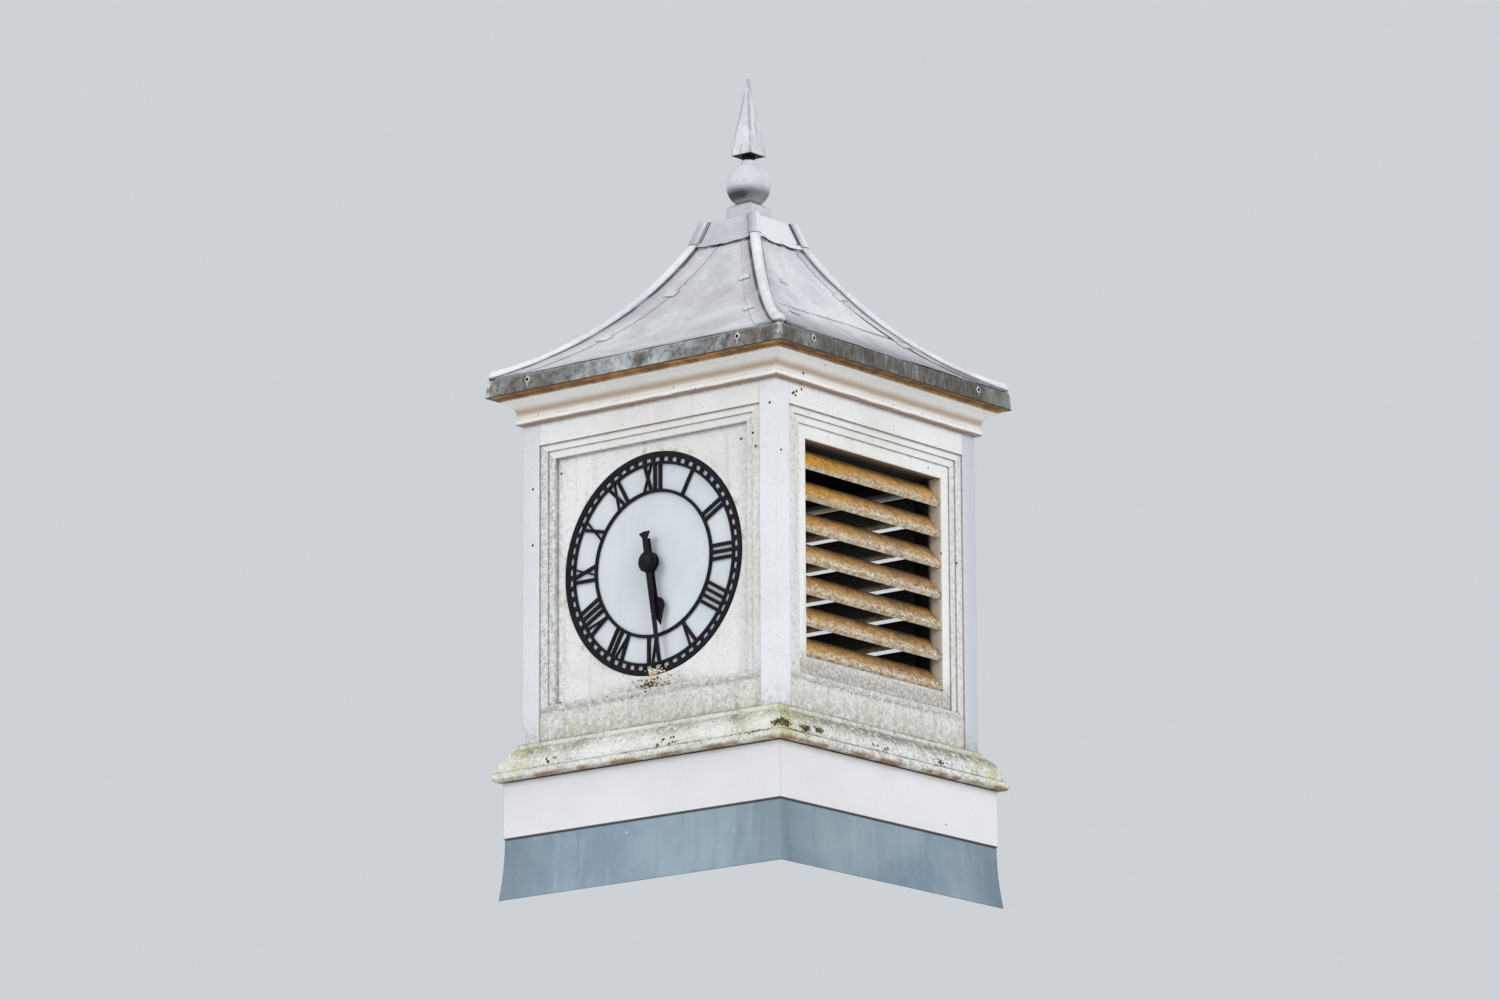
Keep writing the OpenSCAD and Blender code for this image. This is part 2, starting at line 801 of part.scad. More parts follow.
// Square collar with a sloped shoulder
module finial_collar() {
    seat = ball_seat_d / 2;
    color(lead) four_sided(collar_half) polygon([
        [-collar_half, cap_top_z], [collar_half, cap_top_z],
        [collar_half, collar_shoulder_z], [seat, collar_top_z],
        [-seat, collar_top_z], [-collar_half, collar_shoulder_z]
    ]);
}

// Ball with a flat seat below and a short neck above
module finial_ball() {
    color(lead) rotate_extrude() intersection() {
        union() {
            translate([0, ball_z]) circle(ball_r);
            translate([0, ball_z]) square([ball_neck_d / 2, neck_z - ball_z]);
        }
        translate([0, collar_top_z]) square([ball_r, neck_z - collar_top_z]);
    }
}

module finial_neck() {
    color(black) translate([0, 0, neck_z]) cylinder(neck_h, d = neck_d);
}

// Four-sided spike with a square edge at its foot
module finial_spike() {
    half = spike_w / 2;
    tip = spike_tip_w / 2;
    top = spike_z + spike_edge_h + spike_h;
    color(lead) four_sided(half) polygon([
        [-half, spike_z], [half, spike_z], [half, spike_z + spike_edge_h],
        [tip, top], [-tip, top], [-half, spike_z + spike_edge_h]
    ]);
}

module front_upstand() { upstand("front"); }
module right_upstand() { upstand("right"); }
module back_upstand() { upstand("back"); }
module left_upstand() { upstand("left"); }
module front_fascia() { fascia("front"); }
module right_fascia() { fascia("right"); }
module back_fascia() { fascia("back"); }
module left_fascia() { fascia("left"); }
module front_base_moulding() { base_moulding("front"); }
module right_base_moulding() { base_moulding("right"); }
module back_base_moulding() { base_moulding("back"); }
module left_base_moulding() { base_moulding("left"); }
module right_louvre_frame() { louvre_frame("right"); }
module back_louvre_frame() { louvre_frame("back"); }
module left_louvre_frame() { louvre_frame("left"); }
module right_louvre_blades() { louvre_blades("right"); }
module back_louvre_blades() { louvre_blades("back"); }
module left_louvre_blades() { louvre_blades("left"); }
module front_cornice() { cornice("front"); }
module right_cornice() { cornice("right"); }
module back_cornice() { cornice("back"); }
module left_cornice() { cornice("left"); }
module front_eave() { eave("front"); }
module right_eave() { eave("right"); }
module back_eave() { eave("back"); }
module left_eave() { eave("left"); }
module front_roof_slope() { roof_slope("front"); }
module right_roof_slope() { roof_slope("right"); }
module back_roof_slope() { roof_slope("back"); }
module left_roof_slope() { roof_slope("left"); }

front_upstand();
right_upstand();
back_upstand();
left_upstand();
front_fascia();
right_fascia();
back_fascia();
left_fascia();
front_base_moulding();
right_base_moulding();
back_base_moulding();
left_base_moulding();
corner_posts();
bottom_rails();
top_rails();
panel_mouldings();
clock_board();
dial_glass();
dial_ring();
hour_hand();
minute_hand();
right_louvre_frame();
back_louvre_frame();
left_louvre_frame();
right_louvre_blades();
back_louvre_blades();
left_louvre_blades();
front_cornice();
right_cornice();
back_cornice();
left_cornice();
front_eave();
right_eave();
back_eave();
left_eave();
front_roof_slope();
right_roof_slope();
back_roof_slope();
left_roof_slope();
hip_rolls();
roof_cap();
finial_collar();
finial_ball();
finial_neck();
finial_spike();
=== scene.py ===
# %% [markdown]
# # A roof clock turret
#
# The object is a small square timber tower that stands on a roof. From the ground up it has a zinc
# upstand, a white fascia, a weathered base moulding, a boarded body with a clock on one side and
# louvres on the other three, a cornice, and a swept lead roof under a ball and spike.
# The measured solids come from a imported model, and this lesson gives them their finish and adds
# the thin things that a solid model leaves out: lead sheets, clips, screws, moss and lichen.

# %% Load the measured solids
import math

import bpy
import numpy as np
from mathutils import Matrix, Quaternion, Vector
from mathutils.bvhtree import BVHTree


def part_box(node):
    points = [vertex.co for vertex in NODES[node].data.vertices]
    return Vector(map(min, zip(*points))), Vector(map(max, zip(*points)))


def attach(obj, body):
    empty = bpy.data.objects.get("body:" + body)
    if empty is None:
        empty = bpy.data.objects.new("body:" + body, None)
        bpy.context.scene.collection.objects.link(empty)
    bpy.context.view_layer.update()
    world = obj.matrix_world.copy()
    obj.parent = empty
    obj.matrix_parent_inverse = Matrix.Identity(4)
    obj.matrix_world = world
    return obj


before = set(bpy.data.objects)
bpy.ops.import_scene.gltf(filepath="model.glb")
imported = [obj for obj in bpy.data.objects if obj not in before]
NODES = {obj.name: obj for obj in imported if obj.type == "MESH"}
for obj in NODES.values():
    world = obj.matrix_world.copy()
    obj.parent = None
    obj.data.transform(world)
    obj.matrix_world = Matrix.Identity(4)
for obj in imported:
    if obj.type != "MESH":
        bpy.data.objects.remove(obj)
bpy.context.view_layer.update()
SIDES = ("front", "right", "back", "left")
TURRET = "turret"

# %% [markdown]
# ## Sizes read from the solids
#
# Every thin piece has to sit on a solid, so its place is worked out from the solid's own corners.
# The roof is one hollow arc in section. A circle through its outer points could be typed in, but it
# would be wrong as soon as the roof changed, so the circle is fitted to the points of the front
# slope by least squares.


# %% Levels and faces
def low(node):
    """Lowest corner of a solid."""
    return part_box(node)[0]


def high(node):
    """Highest corner of a solid."""
    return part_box(node)[1]


FASCIA_Z = low("front_fascia").z
BASE_MOULD_Z = low("front_base_moulding").z
BASE_MOULD_TOP = high("front_base_moulding").z
PANEL_Z = high("bottom_rails").z
PANEL_TOP = high("panel_mouldings").z
POST_FACE = high("corner_posts").x
POST_IN = high("clock_board").x
FRAME_FACE = high("right_louvre_frame").x
CORNICE_Z = low("front_cornice").z
EAVE_Z = low("front_eave").z
DRIP_OUT = -low("front_eave").y
CAP_Z = high("hip_rolls").z
DIAL = (low("dial_ring") + high("dial_ring")) / 2
DIAL_R = (high("dial_ring").x - low("dial_ring").x) / 2
BALL = (low("finial_ball") + high("finial_ball")) / 2
print("cornice at", round(CORNICE_Z, 3), "eave at", round(EAVE_Z, 3), "dial radius", round(DIAL_R, 3))


# %% The arc of the roof
def mesh_triangles(mesh):
    """Corner points of every triangle of a mesh, as an array of triangles, corners and coordinates."""
    mesh.calc_loop_triangles()
    corners = np.empty(len(mesh.loop_triangles) * 3, np.int32)
    mesh.loop_triangles.foreach_get("vertices", corners)
    points = np.empty(len(mesh.vertices) * 3)
    mesh.vertices.foreach_get("co", points)
    return points.reshape(-1, 3)[corners].reshape(-1, 3, 3)


def fit_circle(across, up):
    """Centre and radius of the circle nearest to flat points, by least squares.

    A circle is across squared plus up squared = 2 a across + 2 b up + c, which is linear in a, b, c.
    """
    table = np.stack([2 * across, 2 * up, np.ones_like(up)], 1)
    a, b, c = np.linalg.lstsq(table, across**2 + up**2, rcond=None)[0]
    return np.array([a, b]), math.sqrt(c + a * a + b * b)


def front_points(node, steepest):
    """Corners of triangles that look up and to the clock side, with Y of the unit normal under a limit."""
    tris = mesh_triangles(NODES[node].data)
    normals = np.cross(tris[:, 1] - tris[:, 0], tris[:, 2] - tris[:, 0])
    normals /= np.maximum(np.linalg.norm(normals, axis=1, keepdims=True), 1e-12)
    straight_up = (normals[:, 2] > 0) & (abs(normals[:, 0]) < 1e-5)
    return tris[(normals[:, 1] < steepest) & straight_up].reshape(-1, 3)


sky_points = front_points("front_roof_slope", 0.0)
ARC_CENTRE, ARC_R = fit_circle(-sky_points[:, 1], sky_points[:, 2])
skirt_points = front_points("roof_cap", -0.8)
SKIRT_LEAN, SKIRT_FOOT = np.polyfit(skirt_points[:, 2] - CAP_Z, -skirt_points[:, 1], 1)
DRIP_KICK = 0.004
ROOF_EDGE_HALF = DRIP_OUT - DRIP_KICK
ROOF_FOOT_Z = ARC_CENTRE[1] - math.sqrt(ARC_R**2 - (ARC_CENTRE[0] - ROOF_EDGE_HALF) ** 2)
print("roof arc", ARC_CENTRE.round(4), round(ARC_R, 4), "drip top", round(ROOF_FOOT_Z, 4), "cap foot",
      round(float(SKIRT_FOOT), 4))


def arc_angle(z):
    """Angle of the roof arc at a height, seen from the arc's centre, which stands outside the roof."""
    return math.pi + np.arcsin((ARC_CENTRE[1] - np.asarray(z)) / ARC_R)


# %% [markdown]
# ## From arrays to pieces
#
# A thin piece is worked out as a grid of points and then given a mesh. Blender's own primitives and
# the Solidify modifier could make it too, but a grid keeps every edge where the formula puts it.
# Two grids, one above the other, are closed round the border into one solid sheet. A closed mesh
# has its faces turned outwards when its volume comes out above zero, so that is tested and mended.


# %% Grids and closed sheets
def grid_quads(rows, columns, closed_columns=False):
    """Quads between neighbouring points of a grid that is stored row by row."""
    r = np.arange(rows - 1)[:, None]
    c = np.arange(columns if closed_columns else columns - 1)[None, :]
    ahead = (c + 1) % columns
    row, next_row = r * columns, (r + 1) * columns
    return np.stack([row + c, row + ahead, next_row + ahead, next_row + c], -1).reshape(-1, 4)


def closed_sheet(upper, lower):
    """Solid between two grids of points: each row is a ring, over the top and back underneath."""
    rows, columns = upper.shape[:2]
    rings = np.concatenate([upper, lower[:, ::-1]], axis=1)
    width = 2 * columns
    j = np.arange(columns - 1)
    first = np.stack([j, width - 1 - j, width - 2 - j, j + 1], 1)
    last = first[:, ::-1] + (rows - 1) * width
    return rings.reshape(-1, 3), np.concatenate([grid_quads(rows, width, True), first, last])


def lathe(profile, segments):
    """Solid of revolution about +Z from radius and height pairs; both ends stay open for a flat lid."""
    profile = np.asarray(profile, float)
    turn = np.linspace(0, 2 * math.pi, segments, endpoint=False)
    r, h = profile[:, :1], profile[:, 1:]
    points = np.stack([r * np.cos(turn), r * np.sin(turn), h + 0 * turn], -1)
    return points.reshape(-1, 3), grid_quads(len(profile), segments, True)


def lids(rings, segments):
    """Flat lids for the first and the last ring of a tube, as two faces with many corners."""
    ring = np.arange(segments)[None]
    return ring[:, ::-1], (rings - 1) * segments + ring


def pebble(rings, segments):
    """Small closed ball of triangles with one point at each pole."""
    lift = np.linspace(0, math.pi, rings + 1)[1:-1, None]
    turn = np.linspace(0, 2 * math.pi, segments, endpoint=False)[None]
    across, up = np.sin(lift), np.cos(lift)
    body = np.stack([across * np.cos(turn), across * np.sin(turn), up + 0 * turn], -1).reshape(-1, 3)
    quads = grid_quads(rings - 1, segments, True)
    sides = np.concatenate([quads[:, [0, 1, 2]], quads[:, [0, 2, 3]]])
    j = np.arange(segments)
    ahead = (j + 1) % segments
    top = np.stack([0 * j + len(body), ahead, j], 1)
    foot = (rings - 2) * segments
    bottom = np.stack([0 * j + len(body) + 1, foot + j, foot + ahead], 1)
    return np.concatenate([body, [[0, 0, 1], [0, 0, -1]]]), np.concatenate([sides, top, bottom])


def repeat(points, faces, frames, places):
    """Copies of a small solid: each is turned by its own three by three frame and moved to its place."""
    moved = np.einsum("nij,kj->nki", frames, points) + places[:, None, :]
    shift = np.arange(len(places))[:, None, None] * len(points)
    return moved.reshape(-1, 3), (faces[None] + shift).reshape(-1, faces.shape[1])


def joined(*parts):
    """Several point and face arrays as one, with the faces renumbered."""
    starts = np.cumsum([0] + [len(points) for points, _ in parts[:-1]])
    renumbered = [faces + start for (_, faces), start in zip(parts, starts)]
    return np.concatenate([points for points, _ in parts]), renumbered


print("a grid of 3 by 4 points has", len(grid_quads(3, 4)), "quads")


# %% A mesh object from arrays
def volume(mesh):
    """Volume inside a closed mesh: a sixth of the sum of the corners' triple products."""
    a, b, c = mesh_triangles(mesh).transpose(1, 0, 2)
    return float(np.einsum("ij,ij->i", a, np.cross(b, c)).sum() / 6)


def placed(name, data):
    """New object of the scene that holds a mesh, a lamp or a camera."""
    made = bpy.data.objects.new(name, data)
    bpy.context.scene.collection.objects.link(made)
    return made


def piece(name, points, faces, material, slot, body=TURRET, smooth_angle=40):
    """Closed mesh object in the finish and body it belongs to; the slot argument is not used."""
    lists = faces if isinstance(faces, list) else [faces]
    mesh = bpy.data.meshes.new(name)
    mesh.from_pydata(np.asarray(points).tolist(), [], [f for part in lists for f in part.tolist()])
    if volume(mesh) < 0:
        mesh.flip_normals()
    mesh.shade_smooth()
    mesh.set_sharp_from_angle(angle=math.radians(smooth_angle))
    mesh.materials.append(material)
    made = placed(name, mesh)
    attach(made, body)
    return made


def turned(points, side):
    """Points made for the front, turned about +Z to another side: a quarter turn for each side."""
    angle = SIDES.index(side) * math.pi / 2
    c, s = math.cos(angle), math.sin(angle)
    return points @ np.array([[c, s, 0], [-s, c, 0], [0, 0, 1]])


def ripple(x, y, size, seed):
    """Smooth random height, mostly from -1 to 1: twice the mean of eight sine waves in seeded directions."""
    rng = np.random.default_rng(seed)
    waves = 8
    heading = rng.uniform(0, 2 * math.pi, waves)
    length = size * rng.uniform(0.6, 1.8, waves)
    phase = rng.uniform(0, 2 * math.pi, waves)
    x, y = np.asarray(x, float)[..., None], np.asarray(y, float)[..., None]
    travel = x * np.cos(heading) + y * np.sin(heading)
    return np.sin(2 * math.pi * travel / length + phase).mean(-1) * 2


sample = ripple(np.linspace(0, 10, 1000), 0.0, 0.1, 1)
print("a ripple runs from", round(float(sample.min()), 2), "to", round(float(sample.max()), 2))


# %% [markdown]
# ## Camera, floor and light
#
# The photograph was taken from well below the turret, with a long lens. A camera was fitted to the
# turret's corners, and it stands at the same place here, lower than the foot of the turret. Only
# its lens is longer, so that the turret fills the picture. The floor can't hide the turret from
# there, so its material is clear from beneath, and one patch under the turret closes the open foot.

# %% Camera
CAMERA_AT = Vector((11.7646, -14.7758, -3.3512))
CAMERA_ROLL = math.radians(-0.28)
LENS_MM = 173.0
AIM = Vector((0.0, 0.0, 1.105))

camera_data = bpy.data.cameras.new("camera")
camera_data.lens = LENS_MM
camera_data.sensor_width = 36.0
camera_data.clip_start = 0.5
camera_data.clip_end = 200.0
camera = placed("camera", camera_data)
bpy.context.scene.camera = camera
camera.location = CAMERA_AT
looking = (AIM - CAMERA_AT).to_track_quat("-Z", "Y")
camera.rotation_mode = "QUATERNION"
camera.rotation_quaternion = looking @ Quaternion((0, 0, 1), CAMERA_ROLL)
print("camera at", [round(v, 2) for v in CAMERA_AT], "looks up at", [round(v, 2) for v in AIM])

# %% [markdown]
# ## Short hands for shader nodes
#
# A material is a small tree of nodes. Written out, each node takes four or five lines, so a helper
# class adds a node, sets its values and gives back the socket that comes out of it.


# %% A node tree helper
def tint(code):
    """Colour for a socket from a six digit web code, as linear light."""
    parts = [int(code[i:i + 2], 16) / 255 for i in (1, 3, 5)]
    return tuple(p / 12.92 if p <= 0.04045 else ((p + 0.055) / 1.055) ** 2.4 for p in parts) + (1.0,)


class Net:
    """Adds nodes to one tree. A value may be a number, a colour or another node's socket."""

    def __init__(self, tree):
        self.tree = tree

    def add(self, kind, inputs, **settings):
        node = self.tree.nodes.new("ShaderNode" + kind)
        for name, value in settings.items():
            setattr(node, name, value)
        for name, value in inputs.items():
            self.feed(node.inputs[name], value)
        return node

    def feed(self, socket, value):
        if isinstance(value, bpy.types.NodeSocket):
            self.tree.links.new(value, socket)
        else:
            socket.default_value = value

    def parts(self, vector):
        return self.add("SeparateXYZ", {"Vector": vector}).outputs

    def math(self, operation, a, b=0.0):
        return self.add("Math", {0: a, 1: b}, operation=operation).outputs[0]

    def size(self, a):
        return self.math("ABSOLUTE", a)

    def plus(self, a, b):
        return self.math("ADD", a, b)

    def less(self, a, b):
        return self.math("SUBTRACT", a, b)

    def either(self, a, b):
        return self.math("MAXIMUM", a, b)

    def times(self, first, *others):
        for other in others:
            first = self.math("MULTIPLY", first, other)
        return first

    def span(self, mask, low, high):
        """The low value where a mask is 0 and the high one where it is 1."""
        return self.plus(low, self.times(mask, high - low))

    def noise(self, vector, scale, detail=3.0, rough=0.5):
        made = self.add("TexNoise", {"Vector": vector, "Scale": scale, "Detail": detail,
                                     "Roughness": rough})
        return made.outputs["Fac"]

    def ramp(self, value, start, end):
        """0 below start and 1 above end, smooth between; start may be the larger one."""
        made = self.add("MapRange", {"Value": value, "From Min": start, "From Max": end},
                        interpolation_type="SMOOTHSTEP")
        return made.outputs["Result"]

    def mix(self, mask, a, b):
        made = self.add("Mix", {}, data_type="RGBA")
        self.feed(made.inputs["Factor"], mask)
        self.feed(made.inputs[6], a)
        self.feed(made.inputs[7], b)
        return made.outputs[2]

    def group(self, tree, **inputs):
        node = self.tree.nodes.new("ShaderNodeGroup")
        node.node_tree = tree
        for name, value in inputs.items():
            self.feed(node.inputs[name], value)
        return node.outputs[0]


def new_group(name, output, **inputs):
    """Empty shader group with one output: its tree, net and inputs, and a function that sets the output."""
    tree = bpy.data.node_groups.new(name, "ShaderNodeTree")
    for label, default in inputs.items():
        kind = "NodeSocketVector" if default is None else "NodeSocketFloat"
        socket = tree.interface.new_socket(name=label, in_out="INPUT", socket_type=kind)
        if default is not None:
            socket.default_value = default
    tree.interface.new_socket(name=output, in_out="OUTPUT", socket_type="NodeSocketFloat")
    net = Net(tree)
    entry, leave = tree.nodes.new("NodeGroupInput"), tree.nodes.new("NodeGroupOutput")
    return tree, net, entry.outputs, lambda value: net.feed(leave.inputs[output], value)


# %% [markdown]
# ## Weathering, made once
#
# Rain, dirt and growth touch every finish on the turret, and so does painted shade in its corners.
# Each of them is a node group that gives a mask from 0 to 1, and each material says how much of it
# to use. An image could hold them too, but it would blur close up and would have to be unwrapped
# over every board.

# %% Specks: round dots in some of the cells of a random pattern
SPECKS, net, given, leave = new_group("specks", "Mask", Vector=None, Scale=60.0, Size=0.25, Share=0.5)
cell = net.add("TexVoronoi", {"Vector": given["Vector"], "Scale": given["Scale"], "Randomness": 1.0})
luck = net.parts(cell.outputs["Color"])
radius = net.times(given["Size"], net.plus(0.35, luck["X"]))
dot = net.ramp(cell.outputs["Distance"], radius, net.times(radius, 0.7))
leave(net.times(dot, net.math("LESS_THAN", luck["Y"], given["Share"])))
print("specks", len(SPECKS.nodes), "nodes")

# %% Patches of growth: the high parts of a cloud
PATCHES, net, given, leave = new_group("patches", "Mask", Vector=None, Scale=6.0, Cover=0.4, Edge=0.06)
cloud = net.noise(given["Vector"], given["Scale"], 8.0, 0.68)
middle = net.less(0.72, net.times(given["Cover"], 0.44))
leave(net.ramp(cloud, net.less(middle, given["Edge"]), net.plus(middle, given["Edge"])))
print("patches", len(PATCHES.nodes), "nodes")

# %% Rain streaks: a cloud drawn out upright
STREAKS, net, given, leave = new_group("streaks", "Mask", Vector=None, Across=60.0, Along=2.5, Cover=0.5)
scale = net.add("CombineXYZ", {"X": given["Across"], "Y": given["Across"], "Z": given["Along"]}).outputs[0]
run = net.add("VectorMath", {0: given["Vector"], 1: scale}, operation="MULTIPLY").outputs[0]
middle = net.less(0.7, net.times(given["Cover"], 0.4))
leave(net.ramp(net.noise(run, 1.0, 5.0, 0.6), middle, net.plus(middle, 0.16)))
print("streaks", len(STREAKS.nodes), "nodes")

# %% Dirt and painted shade in corners: where a point is closed in by other faces
CORNER_DIRT_AND_SHADE, net, given, leave = new_group("corners", "Mask", Vector=None, Reach=0.02, Uneven=0.5)
closed_in = net.add("AmbientOcclusion", {"Distance": given["Reach"]}, samples=6).outputs["AO"]
rough = net.times(given["Uneven"], net.less(net.noise(given["Vector"], 40.0, 4.0), 0.5))
leave(net.ramp(net.plus(closed_in, rough), 0.85, 0.35))
print("corners", len(CORNER_DIRT_AND_SHADE.nodes), "nodes")

# %% A band: 1 between two values, with soft ends
BAND, net, given, leave = new_group("band", "Mask", Height=0.0, Low=0.0, High=1.0, Soft=0.002)
above = net.ramp(given["Height"], net.less(given["Low"], given["Soft"]),
                 net.plus(given["Low"], given["Soft"]))
below = net.ramp(given["Height"], net.plus(given["High"], given["Soft"]),
                 net.less(given["High"], given["Soft"]))
leave(net.times(above, below))
print("band", len(BAND.nodes), "nodes")

# %% Distance from a hip, where two sides of the turret meet
HIP_LINE, net, given, leave = new_group("hip_line", "Distance", Vector=None)
place = net.parts(given["Vector"])
gap = net.less(net.size(place["X"]), net.size(place["Y"]))
leave(net.times(net.size(gap), math.sqrt(0.5)))
print("weathering groups", [g.name for g in bpy.data.node_groups])

# %% [markdown]
# ## A finish in the making
#
# A weathered finish is a base colour with one stain after another laid over it, each inside its own
# mask, as a painter would glaze it. So a finish keeps its colour so far, and a stain is one line: a
# web colour, its strength and the masks that hold it.


# %% Finishes and their stains
def empty_material(name):
    """New material with an empty node tree."""
    made = bpy.data.materials.new(name)
    made.use_nodes = True
    made.node_tree.nodes.clear()
    return made


class Finish(Net):
    """One material while it is made: its net, the place on the object in metres and the colour so far."""

    def __init__(self, name):
        self.made = empty_material(name)
        super().__init__(self.made.node_tree)
        self.place = self.add("TexCoord", {}).outputs["Object"]
        self.at = self.parts(self.place)
        self.colour = None

    def cloud(self, scale, detail=3.0, rough=0.5):
        return self.noise(self.place, scale, detail, rough)

    def stretched(self, x, y, z):
        return self.add("Mapping", {"Vector": self.place, "Scale": (x, y, z)}).outputs["Vector"]

    def level(self, start, end):
        return self.ramp(self.at["Z"], start, end)

    def normal(self, kind="True Normal"):
        return self.parts(self.add("NewGeometry", {}).outputs[kind])

    def specks(self, scale, size, share):
        return self.group(SPECKS, Vector=self.place, Scale=scale, Size=size, Share=share)

    def patches(self, scale, cover, edge=0.06):
        return self.group(PATCHES, Vector=self.place, Scale=scale, Cover=cover, Edge=edge)

    def streaks(self, across, along, cover):
        return self.group(STREAKS, Vector=self.place, Across=across, Along=along, Cover=cover)

    # Dirt and painted shade in corners, darker where ambient occlusion finds other faces close by
    def corners(self, reach, uneven):
        return self.group(CORNER_DIRT_AND_SHADE, Vector=self.place, Reach=reach, Uneven=uneven)

    def band(self, height, low, high, soft):
        return self.group(BAND, Height=height, Low=low, High=high, Soft=soft)

    def hip_gap(self):
        return self.group(HIP_LINE, Vector=self.place)

    def outward(self):
        """Distance from the middle to the side of the turret a point is on, and distance along that side."""
        x, y = self.size(self.at["X"]), self.size(self.at["Y"])
        return self.either(x, y), self.math("MINIMUM", x, y)

    def on_x_side(self):
        """1 on the right and left sides of the turret, where x is the larger part, and 0 on the other two."""
        return self.math("GREATER_THAN", self.size(self.at["X"]), self.size(self.at["Y"]))

    def two_tone(self, mask, first, second):
        """Starts the colour: the first where a mask is 0 and the second where it is 1."""
        self.colour = self.mix(mask, tint(first), tint(second))

    def lay(self, colour, share, *masks):
        """Lays a colour over the finish by the product of a share and some masks."""
        self.colour = self.mix(self.times(share, *masks), self.colour, colour)

    def stain(self, code, share, *masks):
        self.lay(tint(code), share, *masks)

    def fuzz(self, code, scale, cover, share, *masks):
        """Fine clustered growth inside some masks."""
        self.stain(code, share, self.patches(scale, cover, 0.09), *masks)

    def close(self, rough, height, depth, soft_edge=0.0, metallic=0.0, specular=0.5):
        """Ends the material in one Principled shader with a bump and, where asked, softly rounded edges."""
        bump = self.add("Bump", {"Height": height, "Distance": depth, "Strength": 1.0})
        if soft_edge:
            self.feed(bump.inputs["Normal"], self.add("Bevel", {"Radius": soft_edge}, samples=4).outputs[0])
        shader = self.add("BsdfPrincipled", {"Base Color": self.colour, "Roughness": rough,
                                             "Metallic": metallic, "Specular IOR Level": specular,
                                             "Normal": bump.outputs[0]})
        self.feed(self.add("OutputMaterial", {}).inputs["Surface"], shader.outputs[0])
        return self.made


# %% [markdown]
# ## Painted wood
#
# Old gloss paint on softwood is never one white. It is bluer where it is clean, creamier where it
# has chalked, browner in its corners, and it carries black specks and rain streaks. The brown in the
# corners is dirt with painted shade, and deep inside the turret the paint is painted near black as
# shade. One function makes every painted finish from the same masks, and each board picks its own
# amounts. The edges are rounded for the light only, by a bevel in the shader, because a saw-cut edge
# is about 2 mm.


# %% Painted boards
def looks_out(coat):
    """How far a face looks away from the middle: the part of its normal along its own side's axis."""
    normal, x_side = coat.normal(), coat.on_x_side()
    x_part = coat.times(normal["X"], coat.math("SIGN", coat.at["X"]))
    y_part = coat.times(normal["Y"], coat.math("SIGN", coat.at["Y"]))
    return coat.plus(coat.times(x_side, x_part), coat.times(coat.less(1.0, x_side), y_part))


def painted(name, fresh, chalk, streak, rain, specks, extra, corner=("#85786a", 0.7), grit=0.5, growth=(),
            growth_share=0.5):
    """Aged white paint: fresh and chalky areas, rain streaks, specks, grit near corners, growth and painted
    shade.

    rain is the cover and the share of the streaks, and corner the colour and the share of the dirt
    and painted shade in corners.
    """
    coat = Finish(name)
    cloud = coat.cloud(3.0, 5.0, 0.6)
    coat.two_tone(coat.ramp(cloud, 0.35, 0.65), fresh, chalk)
    coat.stain(streak, 0.2, coat.ramp(coat.cloud(90.0, 4.0, 0.6), 0.52, 0.75))
    coat.stain(streak, rain[1], coat.streaks(45.0, 1.8, rain[0]))
    for scale, cover, code in growth:
        coat.stain(code, growth_share, coat.patches(scale, cover))
    # Dirt and painted shade in the corners
    coat.stain(*corner, coat.corners(0.011, 0.4))
    coat.stain("#6d685c", 0.55, coat.corners(0.04, 0.6), coat.patches(120.0, grit, 0.03))
    tiny = coat.times(coat.specks(150.0, 0.22, specks), 0.6)
    marks = coat.either(coat.specks(38.0, 0.13, specks * 0.6), tiny)
    coat.stain("#34312d", 0.8, marks)
    extra(coat)
    # Painted shade: near-black paint on faces deep inside the turret and on faces that look inwards
    inside = coat.ramp(coat.outward()[0], POST_FACE - 0.042, POST_FACE - 0.060)
    inside = coat.either(inside, coat.ramp(looks_out(coat), -0.3, -0.7))
    coat.stain("#1d1712", 1.0, inside)
    grain = coat.noise(coat.stretched(1.0, 1.0, 0.12), 130.0)
    height = coat.plus(coat.times(grain, 0.5), coat.times(marks, 0.7))
    return coat.close(coat.either(inside, coat.span(cloud, 0.75, 0.40)), height, 0.0007, 0.0022)


# %% Fascia and posts
def fascia_foot(coat):
    """Thin brown shadow line along the chamfer at the foot."""
    coat.stain("#4a3b38", 0.85, coat.level(FASCIA_Z + 0.0035, FASCIA_Z + 0.001))


def post_shade_and_foot_growth(coat):
    """Greyer, bluer paint on the two back posts as painted shade, a little grey on the left ones, and growth
    at the foot.
    """
    # Painted shade: greyer, bluer paint on the back posts
    coat.stain("#b9c0ca", 0.8, coat.ramp(coat.at["Y"], 0.30, 0.42))
    coat.stain("#bfc3c8", 0.3, coat.ramp(coat.at["X"], -0.30, -0.42))
    coat.fuzz("#7c7a6c", 70.0, 0.5, 0.4, coat.level(PANEL_Z - 0.01, BASE_MOULD_TOP))


FASCIA_PAINT = painted("fascia_paint", "#e7e7ea", "#e0e0e3", "#cfd2d6", (0.1, 0.2), 0.05, fascia_foot,
                       ("#8f877c", 0.5), 0.2)
POST_PAINT = painted("post_paint", "#e7eaee", "#dfe2e6", "#cccccb", (0.22, 0.25), 0.12, post_shade_and_foot_growth)
print("plain boards", FASCIA_PAINT.name, POST_PAINT.name)


